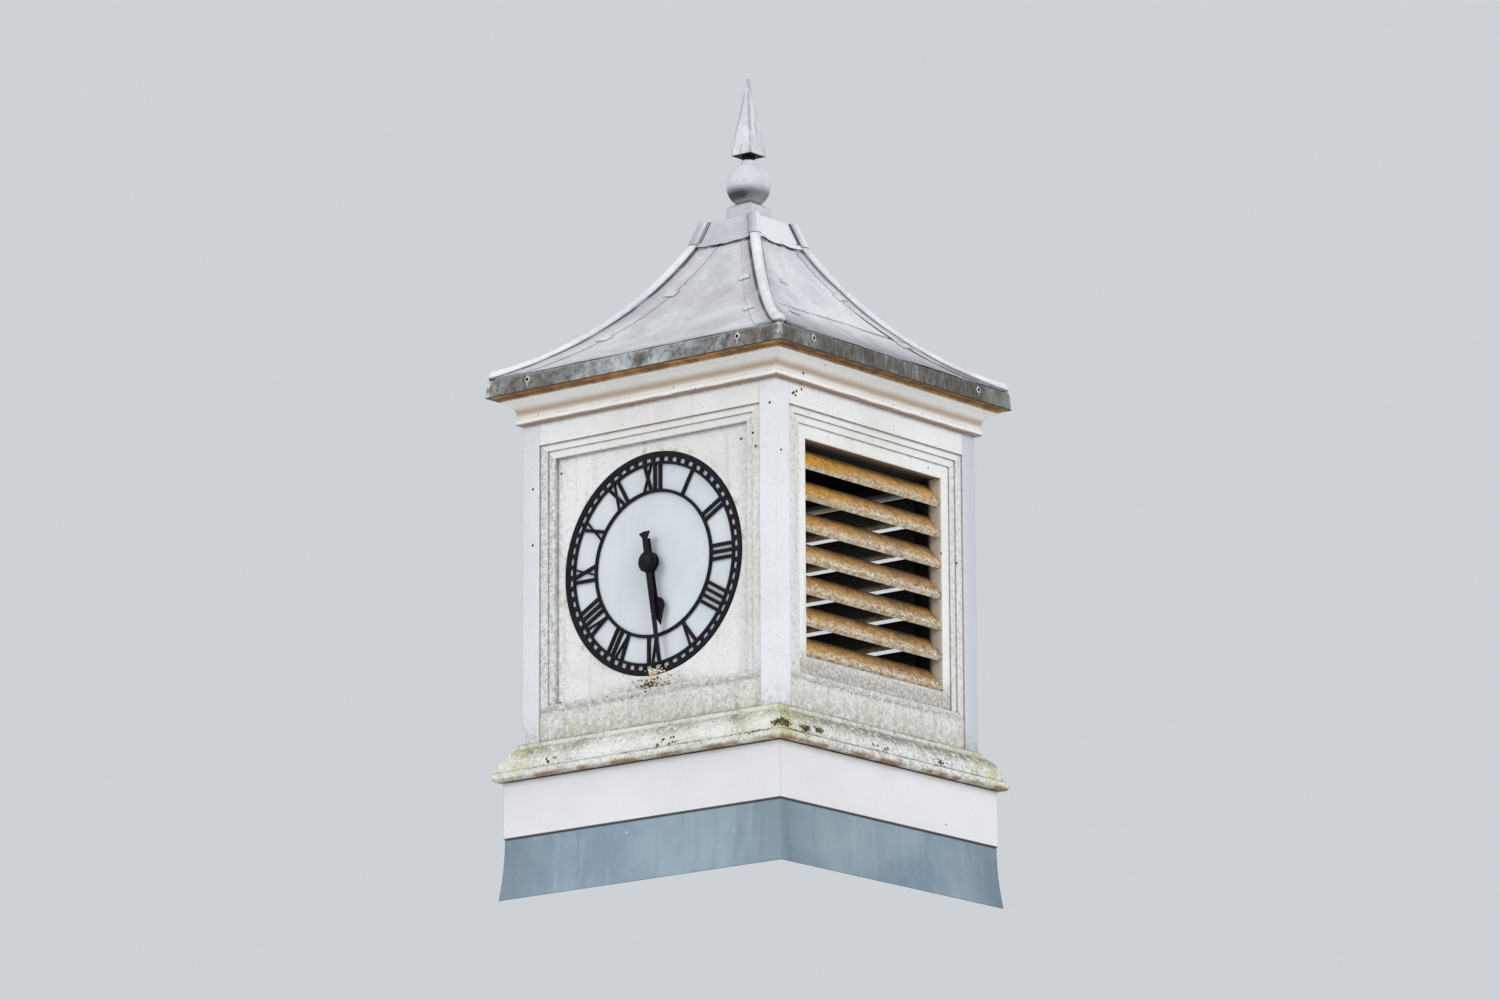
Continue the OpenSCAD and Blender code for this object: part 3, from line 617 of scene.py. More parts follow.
# %% Base moulding and rails
def moulding_growth(coat):
    """Dark algae on the ledges, yellow lichen near the corners and a brown stain along the lower edge."""
    normal = coat.normal()
    coat.fuzz("#55563f", 60.0, 0.62, 0.8, coat.ramp(normal["Z"], 0.15, 0.75))
    coat.fuzz("#55574a", 115.0, 0.38, 0.5)
    coat.fuzz("#b9b65c", 38.0, 0.45, 0.55, coat.ramp(coat.hip_gap(), 0.16, 0.01))
    coat.fuzz("#a3a45a", 50.0, 0.45, 0.4, coat.level(BASE_MOULD_TOP - 0.03, BASE_MOULD_TOP))
    coat.stain("#eef1ec", 0.5, coat.ramp(normal["Y"], -0.3, -0.8),
               coat.ramp(coat.cloud(9.0, 4.0), 0.35, 0.6))
    coat.fuzz("#8a5f35", 12.0, 0.55, 0.9, coat.level(BASE_MOULD_Z + 0.014, BASE_MOULD_Z + 0.001))


def rail_joint(coat):
    """Hairline where a rail meets a post."""
    coat.stain("#6a5d52", 0.7, coat.ramp(coat.outward()[1], POST_IN - 0.0016, POST_IN - 0.0004))


def rail_growth(coat):
    """Green grey growth that thickens downwards, and the hairline beside the posts."""
    lower = coat.level(PANEL_Z, BASE_MOULD_TOP)
    coat.fuzz("#90938a", 60.0, 0.5, 0.5, lower)
    coat.fuzz("#5f6156", 115.0, 0.36, 0.38)
    coat.fuzz("#b6b67a", 36.0, 0.32, 0.4, lower)
    coat.fuzz("#6b6452", 80.0, 0.55, 0.5, coat.level(PANEL_Z - 0.012, PANEL_Z - 0.001))
    rail_joint(coat)


ALGAE = ((5.0, 0.45, "#d6d7cb"), (18.0, 0.3, "#bfc09a"), (46.0, 0.3, "#8b8d7f"), (85.0, 0.24, "#4c4d42"))
RAIL_PAINT = painted("rail_paint", "#ecedee", "#e2e1df", "#cbc7c0", (0.25, 0.25), 0.16, rail_joint)
BASE_PAINT = painted("base_paint", "#eceeeb", "#e0e2dd", "#aeafa5", (0.4, 0.4), 0.7, moulding_growth,
                     ("#3f3c30", 0.9), 0.6, ALGAE, 0.45)
LOW_RAIL_PAINT = painted("low_rail_paint", "#e4e5e2", "#d8d8d2", "#b1aea1", (0.5, 0.4), 0.55, rail_growth,
                         ("#4f4738", 0.9), 0.7, ALGAE, 0.3)
print("grown over", BASE_PAINT.name, LOW_RAIL_PAINT.name)


# %% Panel moulding and louvre frame
def stile_dirt_and_head_shadow(coat):
    """Upright members are greyer than the head and dark in joints and mitres; painted shadow under the top
    rail.
    """
    from_side, from_head = coat.less(POST_IN, coat.outward()[1]), coat.less(PANEL_TOP, coat.at["Z"])
    past_mitre = coat.less(from_head, from_side)
    stile = coat.ramp(past_mitre, -0.0008, 0.0008)
    coat.stain("#b7b9b8", 0.16, stile)
    coat.fuzz("#7d7d78", 75.0, 0.42, 0.3, stile)
    coat.stain("#5c554f", 0.6, coat.ramp(from_side, 0.004, 0.0005), stile)
    shady = coat.times(coat.ramp(coat.at["X"], -0.25, -0.33), coat.ramp(coat.at["Y"], 0.0, -0.3))
    coat.fuzz("#4b463f", 110.0, 0.38, 0.45, shady, stile)
    # Painted shadow: a brown line under the top rail, along the head of the moulding
    coat.stain("#8a6452", 0.55, coat.ramp(from_head, 0.009, 0.001), coat.less(1.0, stile))
    coat.stain("#5c5249", 0.6, coat.ramp(coat.size(past_mitre), 0.0012, 0.0003))
    coat.fuzz("#756b55", 60.0, 0.6, 0.5, coat.level(PANEL_Z + 0.02, PANEL_Z))


def frame_stains_and_depth_shade(coat):
    """Tan stains on the jambs, painted shade under the head and turning black further in, and a dirty foot
    board.
    """
    out = coat.outward()[0]
    low_board = coat.level(PANEL_Z + 0.11, PANEL_Z + 0.03)
    coat.stain("#a39c90", 0.5, low_board)
    coat.fuzz("#625d55", 105.0, 0.5, 0.55, low_board)
    jamb = coat.ramp(out, FRAME_FACE - 0.001, FRAME_FACE - 0.012)
    coat.stain("#cfb487", 1.0, jamb, coat.span(coat.ramp(coat.cloud(30.0, 5.0), 0.3, 0.6), 0.1, 0.55))
    # Painted shade: brown on the underside of the head, near black further in
    head = coat.times(coat.ramp(coat.normal()["Z"], -0.3, -0.7),
                      coat.ramp(out, FRAME_FACE - 0.001, FRAME_FACE - 0.008))
    coat.stain("#5a3d1f", 0.85, head)
    coat.stain("#1b1510", 1.0, head, coat.ramp(out, FRAME_FACE - 0.012, FRAME_FACE - 0.034))
    # Painted shade: near black deeper in the opening
    coat.stain("#1b1510", 1.0, coat.ramp(out, FRAME_FACE - 0.032, FRAME_FACE - 0.052))


FRAME_PAINT = painted("frame_paint", "#eeeeec", "#e4e3df", "#b5b1a6", (0.35, 0.3), 0.35, frame_stains_and_depth_shade,
                      grit=0.6)
MOULD_PAINT = painted("mould_paint", "#eaebeb", "#e0dfdc", "#b9b6ad", (0.3, 0.3), 0.3, stile_dirt_and_head_shadow,
                      ("#7a6b5e", 0.85), 0.62)
print("panel finishes", FRAME_PAINT.name, MOULD_PAINT.name)

# %% [markdown]
# ## Cornice and clock board
#
# The cornice is white, with painted shade in its hollow and a painted shadow under its bead, and it
# is golden brown along its square top edge where the lichen starts. These bands are level, so they
# are masks on height. The clock board is the same paint with lichen round the dial, so its mask is a
# distance from the dial.


# %% Cornice paint
def golden_lichen(coat):
    """Colour of orange gold growth with green and brown in it."""
    gold = coat.mix(coat.ramp(coat.cloud(26.0, 5.0), 0.35, 0.6), tint("#c8954f"), tint("#8e6436"))
    return coat.mix(coat.times(coat.patches(40.0, 0.25, 0.09), 0.5), gold, tint("#a6a04c"))


def cornice_lichen_and_shade(coat):
    """Golden top edge, painted shade in the hollow and a painted shadow under the bead, all a little wavy."""
    level = coat.plus(coat.at["Z"], coat.times(coat.less(coat.cloud(14.0, 4.0), 0.5), 0.005))
    # Painted shade in the hollow of the cornice
    coat.stain("#b39a7c", 0.85, coat.band(level, CORNICE_Z + 0.026, CORNICE_Z + 0.044, 0.009))
    # Painted shadow under the bead
    coat.stain("#8a674c", 0.85, coat.band(level, CORNICE_Z - 0.002, CORNICE_Z + 0.0045, 0.002))
    coat.lay(golden_lichen(coat), 0.92, coat.band(level, EAVE_Z - 0.0085, EAVE_Z + 0.01, 0.0015))


CORNICE_PAINT = painted("cornice_paint", "#f6f6f4", "#efedea", "#d3c8ba", (0.25, 0.25), 0.12, cornice_lichen_and_shade)
print("cornice", CORNICE_PAINT.name)


# %% Clock board paint
def dial_lichen(coat):
    """Yellow lichen round the dial's rim, green growth at six o'clock and grey growth near the posts."""
    away = coat.add("VectorMath", {0: coat.stretched(1.0, 0.0, 1.0), 1: (0.0, 0.0, DIAL.z)},
                    operation="DISTANCE")
    coat.fuzz("#b5a660", 24.0, 0.3, 0.75, coat.ramp(away.outputs["Value"], DIAL_R + 0.03, DIAL_R + 0.003))
    dial_foot, from_middle = DIAL.z - DIAL_R, coat.size(coat.at["X"])
    coat.fuzz("#8d8a5c", 34.0, 0.6, 1.0, coat.level(dial_foot + 0.01, dial_foot - 0.06),
              coat.ramp(from_middle, 0.26, 0.03))
    coat.fuzz("#77756a", 90.0, 0.45, 0.3, coat.ramp(from_middle, 0.27, 0.33))


BOARD_PAINT = painted("board_paint", "#e9eaeb", "#dedfdf", "#b4b4ae", (0.42, 0.3), 0.25, dial_lichen,
                      grit=0.45)
print("clock board", BOARD_PAINT.name)

# %% [markdown]
# ## Lichen on the louvre blades
#
# The blades are painted cream, and their upper faces are covered by ochre lichen. The normal of
# the solid tells the upper face from the nose. Deep inside and on the blades' undersides, the wood
# is painted nearly black as shade.


# %% Louvre blades
def blade_paint(name):
    """Cream noses, ochre lichen with a cream crust on faces that look up, and painted shade inside and
    underneath.
    """
    coat = Finish(name)
    normal, out = coat.normal(), coat.outward()[0]
    coat.two_tone(coat.ramp(coat.cloud(24.0, 7.0, 0.7), 0.38, 0.62), "#c38d45", "#8a602c")
    sunny = coat.plus(coat.level(0.85, 1.12), coat.ramp(coat.at["Y"], 0.1, -0.35))
    coat.stain("#e3a62c", 0.5, coat.patches(30.0, 0.62, 0.08), sunny)
    coat.stain("#5d4526", 0.55, coat.patches(55.0, 0.3, 0.08))
    crust = coat.patches(100.0, 0.56, 0.08)
    outer = coat.span(coat.ramp(out, FRAME_FACE - 0.03, FRAME_FACE - 0.004), 0.1, 0.95)
    coat.stain("#ece3cd", 1.0, crust, outer, coat.ramp(sunny, 1.9, 0.6))
    ochre, up = coat.colour, coat.ramp(normal["Z"], 0.0, 0.3)
    coat.two_tone(coat.ramp(coat.cloud(60.0, 5.0), 0.4, 0.65), "#f0e9d8", "#c9b189")
    coat.lay(ochre, 1.0, up)
    # Painted shade: near black deeper in the opening
    coat.stain("#231a11", 0.9, coat.ramp(out, FRAME_FACE - 0.026, FRAME_FACE - 0.052))
    # Painted shade on the undersides of the blades
    coat.stain("#1f1812", 0.95, coat.ramp(normal["Z"], -0.3, -0.6),
               coat.ramp(out, FRAME_FACE - 0.010, FRAME_FACE - 0.024))
    return coat.close(0.85, coat.plus(coat.times(coat.cloud(140.0, 6.0, 0.7), up), crust), 0.0016, 0.0016)


BLADE_PAINT = blade_paint("blade_paint")
print("blades", BLADE_PAINT.name)

# %% [markdown]
# ## Sheet metals
#
# Zinc weathers to a blue grey with paler rain streaks. Lead weathers to a pale, slightly blue
# grey, and is darker against a roll, where grime and a painted shadow lie. The drip at the eave is
# the oldest lead and the dirtiest. None of them is shiny any more, so they are mostly matt with a
# little metal.


# %% Zinc
def zinc_sheet(name):
    """Blue grey zinc with soft upright streaks, darker towards the corners, and a shadow under the fascia."""
    coat = Finish(name)
    cloud = coat.cloud(5.0, 6.0, 0.6)
    coat.two_tone(coat.ramp(cloud, 0.35, 0.68), "#7f93a3", "#94a8b4")
    coat.stain("#9fb0ab", 0.35, coat.ramp(coat.cloud(2.2), 0.45, 0.7))
    coat.stain("#b5c1c8", 0.28, coat.streaks(34.0, 1.6, 0.4))
    coat.stain("#66757f", 0.28, coat.streaks(26.0, 1.1, 0.4))
    coat.stain("#64747e", 0.45, coat.ramp(coat.hip_gap(), 0.14, 0.01))
    coat.stain("#d3d8da", 0.6, coat.specks(30.0, 0.14, 0.05))
    coat.stain("#26272e", 0.9, coat.level(FASCIA_Z - 0.0065, FASCIA_Z - 0.002))
    return coat.close(coat.span(cloud, 0.42, 0.72), coat.cloud(9.0, 4.0), 0.0025, 0.0015, 0.3)


ZINC = zinc_sheet("zinc_sheet")
print("upstand", ZINC.name)


# %% Lead
def roll_shadow_lines(coat, share):
    """Painted shadow with grime as a dark line along the foot of each roll, and paler grime beside it."""
    off = coat.hip_gap()
    uneven = coat.span(coat.ramp(coat.cloud(11.0, 4.0), 0.3, 0.5), 0.5, 1.0)
    # Painted shadow with grime: the dark line at the foot of each roll
    coat.stain("#34323b", share, coat.band(off, 0.0, 0.0195, 0.0025), uneven)
    coat.stain("#77747c", 0.35 * share, coat.ramp(off, 0.05, 0.018), uneven)


def cap_shadow(coat):
    """Dark dashes on a sheet just under the roof cap."""
    dashes = coat.span(coat.ramp(coat.cloud(24.0, 4.0), 0.42, 0.56), 0.35, 0.95)
    coat.stain("#323036", 1.0, coat.band(coat.at["Z"], CAP_Z - 0.0185, CAP_Z, 0.0015), dashes)


def lead_finish(name, fresh, old, dirt="#55525a", dark_share=0.25, shadow_line_share=0.0, grime_and_shade_share=0.3,
                extra=None):
    """Pale blue grey lead: clouded, softly streaked downhill, with grime and painted shade in its laps and
    beside the rolls.
    """
    coat = Finish(name)
    coat.two_tone(coat.ramp(coat.cloud(6.0, 6.0, 0.62), 0.36, 0.66), fresh, old)
    fine = coat.cloud(70.0, 5.0, 0.65)
    coat.stain("#a3a3a9", 0.25, coat.ramp(fine, 0.45, 0.7))
    coat.stain("#e2e5e8", 0.35, coat.streaks(30.0, 4.0, 0.35))
    coat.stain("#8f8c90", dark_share, coat.patches(9.0, 0.25, 0.12))
    # Grime and painted shade in the laps
    coat.stain(dirt, grime_and_shade_share, coat.corners(0.007, 0.3))
    if shadow_line_share:
        roll_shadow_lines(coat, shadow_line_share)
    coat.stain("#5a575b", 0.5, coat.specks(60.0, 0.15, 0.1))
    if shadow_line_share:
        cap_shadow(coat)
    if extra:
        extra(coat)
    height = coat.plus(coat.cloud(22.0, 5.0), coat.times(fine, 0.3))
    return coat.close(coat.span(fine, 0.5, 0.75), height, 0.0016, 0.002, 0.12, 0.2)


# %% Lead on the slopes
LAP_Z = 1.55
STRIP_Z = 1.654
STRIP_WIDTH = 0.057
STRIP_SPREAD = 0.09


def lower_runs_and_edge_shadows(coat):
    """Brown grey runs from the lap to the drip, and dirt and painted shadow under the lap and the strips'
    edges.
    """
    out, beside = coat.outward()
    x_side = coat.on_x_side()
    along = coat.plus(coat.times(x_side, coat.at["Y"]), coat.times(coat.less(1.0, x_side), coat.at["X"]))
    downhill = coat.add("CombineXYZ", {"X": coat.times(along, 24.0), "Y": coat.times(out, 5.0),
                                       "Z": coat.times(x_side, 7.0)})
    runs = coat.span(coat.ramp(coat.noise(downhill.outputs[0], 1.0, 4.0, 0.5), 0.25, 0.72), 0.55, 0.95)
    over_drip = coat.level(ROOF_FOOT_Z - 0.004, ROOF_FOOT_Z + 0.004)
    coat.stain("#68646b", 0.95, coat.level(LAP_Z + 0.02, ROOF_FOOT_Z - 0.01), over_drip, runs)
    lap = coat.times(coat.band(coat.at["Z"], LAP_Z - 0.004, LAP_Z, 0.001), 0.6)
    edge = coat.plus(STRIP_WIDTH, coat.times(coat.less(STRIP_Z, coat.at["Z"]), STRIP_SPREAD))
    strip = coat.band(coat.less(coat.less(out, beside), edge), -0.001, 0.007, 0.0015)
    far = coat.times(coat.ramp(coat.at["Y"], -0.05, 0.05), coat.level(LAP_Z + 0.14, LAP_Z))
    # Dirt and painted shadow: dark lines under the lap and along the strips' free edges
    coat.stain("#3e3c45", 1.0, coat.either(lap, coat.times(strip, far, 0.85)),
               coat.ramp(coat.cloud(13.0, 4.0), 0.35, 0.55))


def front_wash(coat):
    """Greyer lead just above the drip of the clock side."""
    coat.stain("#8b898f", 0.45, coat.level(ROOF_FOOT_Z + 0.035, ROOF_FOOT_Z + 0.002),
               coat.ramp(coat.cloud(8.0, 4.0), 0.25, 0.55))


LEAD = lead_finish("lead_sheet", "#dfe2e7", "#c8cbd1", shadow_line_share=0.8, extra=lower_runs_and_edge_shadows)
FRONT_LEAD = lead_finish("front_lead_sheet", "#d0d2d7", "#b8babf", shadow_line_share=1.0, extra=front_wash)
CLIP_LEAD = lead_finish("clip_lead", "#d6d8dd", "#c3c5ca", grime_and_shade_share=0.9)
print("slopes", LEAD.name, FRONT_LEAD.name, "lap at", LAP_Z)


# %% Lead on the rolls and the cap
def roll_shade(coat):
    """Painted shade and grime low on a roll: height over boards is the arc's radius less the distance to its
    centre.
    """
    normal = coat.normal("Normal")
    across = coat.less(float(ARC_CENTRE[0]), coat.outward()[0])
    up = coat.less(float(ARC_CENTRE[1]), coat.at["Z"])
    away = coat.math("SQRT", coat.plus(coat.times(across, across), coat.times(up, up)))
    far = coat.times(coat.ramp(coat.at["Y"], -0.05, 0.1), 0.8)
    faces = coat.either(coat.ramp(normal["Y"], 0.05, -0.35), far)
    uneven = coat.span(coat.ramp(coat.cloud(14.0, 4.0), 0.3, 0.6), 0.5, 0.95)
    # Painted shade with grime on the low part of a roll that faces the clock, and on the back rolls
    coat.stain("#4f4d55", 1.0, coat.ramp(coat.less(ARC_R, away), 0.012, 0.005), faces, uneven)


def cap_light_and_shade(coat):
    """Painted light and shade: darker front and back, brighter sides, and shade on, beside and under the
    apron.
    """
    normal = coat.normal()
    # Painted light and shade: front and back darker, right and left brighter
    coat.stain("#9799a1", 0.3, coat.ramp(coat.size(normal["Y"]), 0.75, 0.9))
    coat.stain("#eceef2", 0.75, coat.ramp(coat.size(normal["X"]), 0.75, 0.9))
    off, to_clock = coat.hip_gap(), coat.ramp(normal["Y"], -0.1, -0.5)
    # Painted shade: the cap's rolls darker towards the clock
    coat.stain("#8d9097", 1.0, coat.ramp(off, 0.0165, 0.0145), coat.span(to_clock, 0.08, 0.28))
    face = coat.plus(float(SKIRT_FOOT), coat.times(coat.less(coat.at["Z"], CAP_Z), float(SKIRT_LEAN)))
    foot = coat.ramp(coat.less(coat.outward()[0], face), 0.010, 0.005)
    # Painted shadow beside the rolls at the foot of the cap, stronger towards the clock
    coat.stain("#3f3d45", 1.0, foot, coat.band(off, 0.0085, 0.0155, 0.001), coat.span(to_clock, 0.25, 0.85))
    # Painted shade: near black on the faces under the apron's edge
    edge = coat.times(coat.ramp(normal["Z"], -0.35, -0.65), coat.level(CAP_Z - 0.003, CAP_Z - 0.006))
    coat.stain("#1f1c20", 1.0, edge, coat.span(coat.ramp(coat.cloud(26.0, 4.0), 0.35, 0.6), 0.55, 1.0))


ROLL_LEAD = lead_finish("roll_lead", "#e4e6ea", "#d0d2d8", grime_and_shade_share=0.7, extra=roll_shade)
CAP_LEAD = lead_finish("cap_lead", "#d3d6dc", "#bfc2c8", dark_share=0.4, grime_and_shade_share=0.7, extra=cap_light_and_shade)
print("rolls", ROLL_LEAD.name, "cap", CAP_LEAD.name)


# %% Lead on the finial
def finial_shade_and_reflections(coat):
    """Painted reflection: dark band under the ball's middle and greyer lead below; shade on spike arrises and
    underside.
    """
    normal = coat.normal()
    uneven = coat.span(coat.ramp(coat.cloud(12.0, 4.0), 0.2, 0.5), 0.55, 0.95)
    aside = coat.plus(coat.times(coat.at["X"], 0.78), coat.times(coat.at["Y"], 0.63))
    to_left = coat.span(coat.ramp(aside, 0.04, -0.02), 0.72, 1.0)
    # Painted reflection: a dark band under the middle of the ball, stronger to the left
    under_middle = coat.band(coat.at["Z"], BALL.z - 0.060, BALL.z - 0.025, 0.014)
    coat.stain("#343233", 1.0, under_middle, uneven, to_left)
    # Painted reflection: greyer lead below the dark band, more on the front
    coat.stain("#7f7972", 0.35, coat.band(coat.at["Z"], BALL.z - 0.07, BALL.z - 0.056, 0.006))
    front = coat.span(coat.ramp(normal["Y"], -0.2, -0.6), 0.55, 1.0)
    coat.stain("#a2a7ad", 0.5, coat.level(BALL.z - 0.052, BALL.z - 0.056), front)
    spike = coat.level(BALL.z + 0.07, BALL.z + 0.08)
    coat.stain("#858a92", 0.45, coat.streaks(110.0, 4.0, 0.42), spike)
    # Painted shade along the spike's arrises
    coat.stain("#7b8088", 0.5, coat.ramp(coat.hip_gap(), 0.006, 0.0015), spike,
               coat.ramp(coat.cloud(18.0, 4.0), 0.35, 0.55))
    # Painted shade: near black under the spike
    coat.stain("#17151a", 1.0, coat.ramp(normal["Z"], -0.8, -0.95),
               coat.level(BALL.z + 0.05, BALL.z + 0.06))


FINIAL_LEAD = lead_finish("finial_lead", "#e2e5ea", "#cccfd5", "#47454a", 0.35, grime_and_shade_share=0.7,
                          extra=finial_shade_and_reflections)
print("finial", FINIAL_LEAD.name)

# %% Drip at the eave
SCREW_ALONG = 0.36
SCREW_Z = ROOF_FOOT_Z - 0.016


def drip_lead(name):
    """Dark drip: nearly black mottling, pale oxide patches, a few runs, painted highlights and a painted
    shadow at its foot.
    """
    coat = Finish(name)
    out, along = coat.outward()
    cloud = coat.cloud(17.0, 7.0, 0.7)
    coat.two_tone(coat.ramp(cloud, 0.36, 0.6), "#5c5c59", "#7c7e7c")
    coat.stain("#a9b1b4", 0.7, coat.ramp(along, 0.27, 0.08), coat.ramp(coat.cloud(12.0, 5.0), 0.35, 0.55))
    broad = coat.either(coat.ramp(coat.cloud(2.6), 0.42, 0.62), coat.ramp(along, 0.3, 0.1))
    coat.stain("#b9c0c2", 0.85, coat.patches(21.0, 0.5, 0.07), broad)
    coat.stain("#4f443b", 0.7, coat.patches(7.0, 0.35, 0.1))
    coat.stain("#b9bcb8", 0.5, coat.streaks(70.0, 14.0, 0.3))
    moss = coat.patches(48.0, 0.32, 0.07)
    coat.stain("#35342f", 0.55, moss)
    # Painted highlight along the top edge of the drip
    coat.stain("#a9abae", 0.6, coat.level(ROOF_FOOT_Z - 0.006, ROOF_FOOT_Z))
    # Painted highlight at the folds on the corners
    coat.stain("#d9dcdc", 0.8, coat.ramp(coat.hip_gap(), 0.011, 0.004), coat.patches(30.0, 0.6, 0.08))
    near_screw = coat.ramp(coat.size(coat.less(along, SCREW_ALONG)), 0.005, 0.001)
    coat.stain("#cfd2d0", 0.5, near_screw, coat.level(SCREW_Z - 0.026, SCREW_Z - 0.008))
    flank = coat.ramp(coat.size(coat.normal()["X"]), 0.5, 0.9)
    far = coat.span(coat.ramp(coat.at["Y"], -0.45, -0.1), 0.45, 1.0)
    coat.stain("#423a33", 1.0, flank, coat.span(coat.streaks(160.0, 12.0, 0.75), 0.45, 0.85), far)
    coat.stain("#98a096", 0.5, flank, coat.ramp(coat.at["Y"], 0.34, 0.43),
               coat.ramp(coat.cloud(16.0, 4.0), 0.3, 0.55))
    # Painted shadow: dark brown along the foot of the drip
    coat.stain("#3c2c1f", 1.0, coat.level(EAVE_Z + 0.004, EAVE_Z + 0.001))
    underside = coat.level(EAVE_Z + 0.0006, EAVE_Z)
    soffit = coat.times(underside, coat.ramp(out, DRIP_OUT - 0.0015, DRIP_OUT - 0.005))
    x_over_y = coat.less(coat.size(coat.at["X"]), coat.size(coat.at["Y"]))
    shaded = coat.times(soffit, coat.ramp(x_over_y, 0.02, -0.02))
    gold = golden_lichen(coat)
    coat.lay(gold, 1.0, shaded)
    coat.lay(gold, 0.45, coat.less(soffit, shaded))
    return coat.close(0.62, coat.plus(cloud, coat.times(moss, 0.6)), 0.002, 0.0015, 0.15)


DRIP_LEAD = drip_lead("drip_lead")
print("drip", DRIP_LEAD.name)


# %% Boards under the lead
def roof_boards(name):
    """Rough boards under the lead, painted near black as shade, seen only through the louvres, a gap every
    110 mm.
    """
    coat = Finish(name)
    grain = coat.noise(coat.stretched(0.15, 0.15, 1.0), 60.0, 5.0)
    # Painted shade: boards near black for the dark inside of the turret
    coat.two_tone(grain, "#1e160f", "#0f0b08")
    coat.stain("#060505", 1.0, coat.ramp(coat.math("PINGPONG", coat.at["Z"], 0.055), 0.003, 0.0015))
    return coat.close(0.9, grain, 0.001)


ROOF_BOARDS = roof_boards("roof_boards")
print("under the lead", ROOF_BOARDS.name)

# %% [markdown]
# ## Dial and hands
#
# The ring and the hands are black paint on cast iron and sheet, with a low sheen and dust. The
# glass behind them is opal: it looks milky and pale blue, so a glossy, faintly clouded white gives
# it, and clear glass would be wrong.


# %% Black paint and opal glass
def black_paint(name, dust_share):
    """Black paint with brush-fine bumps, grey dust and a few chips down to primer."""
    coat = Finish(name)
    cloud = coat.cloud(35.0, 5.0, 0.6)
    coat.two_tone(coat.ramp(cloud, 0.4, 0.7), "#07080f", "#11131c")
    coat.stain("#4b4f58", dust_share, coat.streaks(90.0, 20.0, 0.35))
    coat.stain("#7b7468", 0.7, coat.specks(110.0, 0.2, 0.07))
    return coat.close(coat.span(cloud, 0.33, 0.63), cloud, 0.0005, 0.0012, specular=0.15)


def opal_glass(name):
    """Milky glass: pale blue with a faint cloud, a little dust, and grime with painted shade at its edge."""
    coat = Finish(name)
    cloud, dust = coat.cloud(4.0, 4.0), coat.streaks(30.0, 2.0, 0.4)
    coat.two_tone(coat.ramp(cloud, 0.35, 0.68), "#d9e0e7", "#c9d2da")
    coat.stain("#b9bfc2", 0.3, dust)
    # Grime and painted shade at the edge of the glass
    coat.stain("#8f918c", 0.4, coat.corners(0.01, 0.4))
    coat.stain("#6e6d62", 0.6, coat.specks(70.0, 0.14, 0.12))
    return coat.close(coat.span(dust, 0.16, 0.41), cloud, 0.0008)


RING_PAINT = black_paint("ring_paint", 0.15)
HAND_PAINT = black_paint("hand_paint", 0.1)
OPAL = opal_glass("opal_glass")
print("dial finishes", RING_PAINT.name, HAND_PAINT.name, OPAL.name)

# %% [markdown]
# ## Every solid gets its finish
#
# The name of a solid says what it is, so a table of words picks its finish. The first word that is
# found in the name counts, which is why the neck stands before the rest of the finial.


# %% Finishes on the solids
def finish_for(node):
    """The finish of a solid, by what it is."""
    by_word = (("upstand", ZINC), ("fascia", FASCIA_PAINT), ("base_moulding", BASE_PAINT),
               ("cornice", CORNICE_PAINT), ("eave", DRIP_LEAD), ("roof_slope", ROOF_BOARDS),
               ("louvre_frame", FRAME_PAINT), ("louvre_blades", BLADE_PAINT), ("corner_posts", POST_PAINT),
               ("bottom_rails", LOW_RAIL_PAINT), ("top_rails", RAIL_PAINT),
               ("panel_mouldings", MOULD_PAINT), ("clock_board", BOARD_PAINT), ("dial_glass", OPAL),
               ("dial_ring", RING_PAINT), ("hand", HAND_PAINT), ("hip_rolls", ROLL_LEAD),
               ("roof_cap", CAP_LEAD), ("finial_neck", RING_PAINT), ("finial", FINIAL_LEAD))
    return next(finish for word, finish in by_word if word in node)


for node, solid in NODES.items():
    solid.data.materials.clear()
    solid.data.materials.append(finish_for(node))
print("finished", len(NODES), "solids with", len(bpy.data.materials), "materials")

# %% [markdown]
# ## Lead sheets on the roof
#
# The slopes are boards covered with lead. The sheet is beaten by hand, so it is never quite true:
# it has shallow dents, it stands up against the rolls and it ends in a bead over the drip. The
# front slope is one sheet. The others are two, and the upper one laps the lower.

# %% Shape of a lead sheet
LEAD_T = 0.0016
LAYER = 0.0018
STEM_CLEAR = 0.0095
EDGE_BEAD = 0.0025
UPTURN = 0.0045
ROOF_TOP_Z = CAP_Z + 0.006
DENTS = {"front": 11, "right": 21, "back": 31, "left": 41}


def slope_half(angle):
    """Distance of a slope's face from the middle of the turret, at an angle of the roof arc."""
    return ARC_CENTRE[0] + ARC_R * np.cos(angle)


def slope_z(angle):
    """Height of a slope's face at an angle of the roof arc."""
    return ARC_CENTRE[1] + ARC_R * np.sin(angle)


def slope_point(along, angle, lift):
    """Place on the front slope: the arc's centre plus its radius less the lift, at the given angle."""
    half = ARC_CENTRE[0] + (ARC_R - lift) * np.cos(angle)
    up = ARC_CENTRE[1] + (ARC_R - lift) * np.sin(angle)
    return np.stack([along + 0 * half, -half, up], -1)


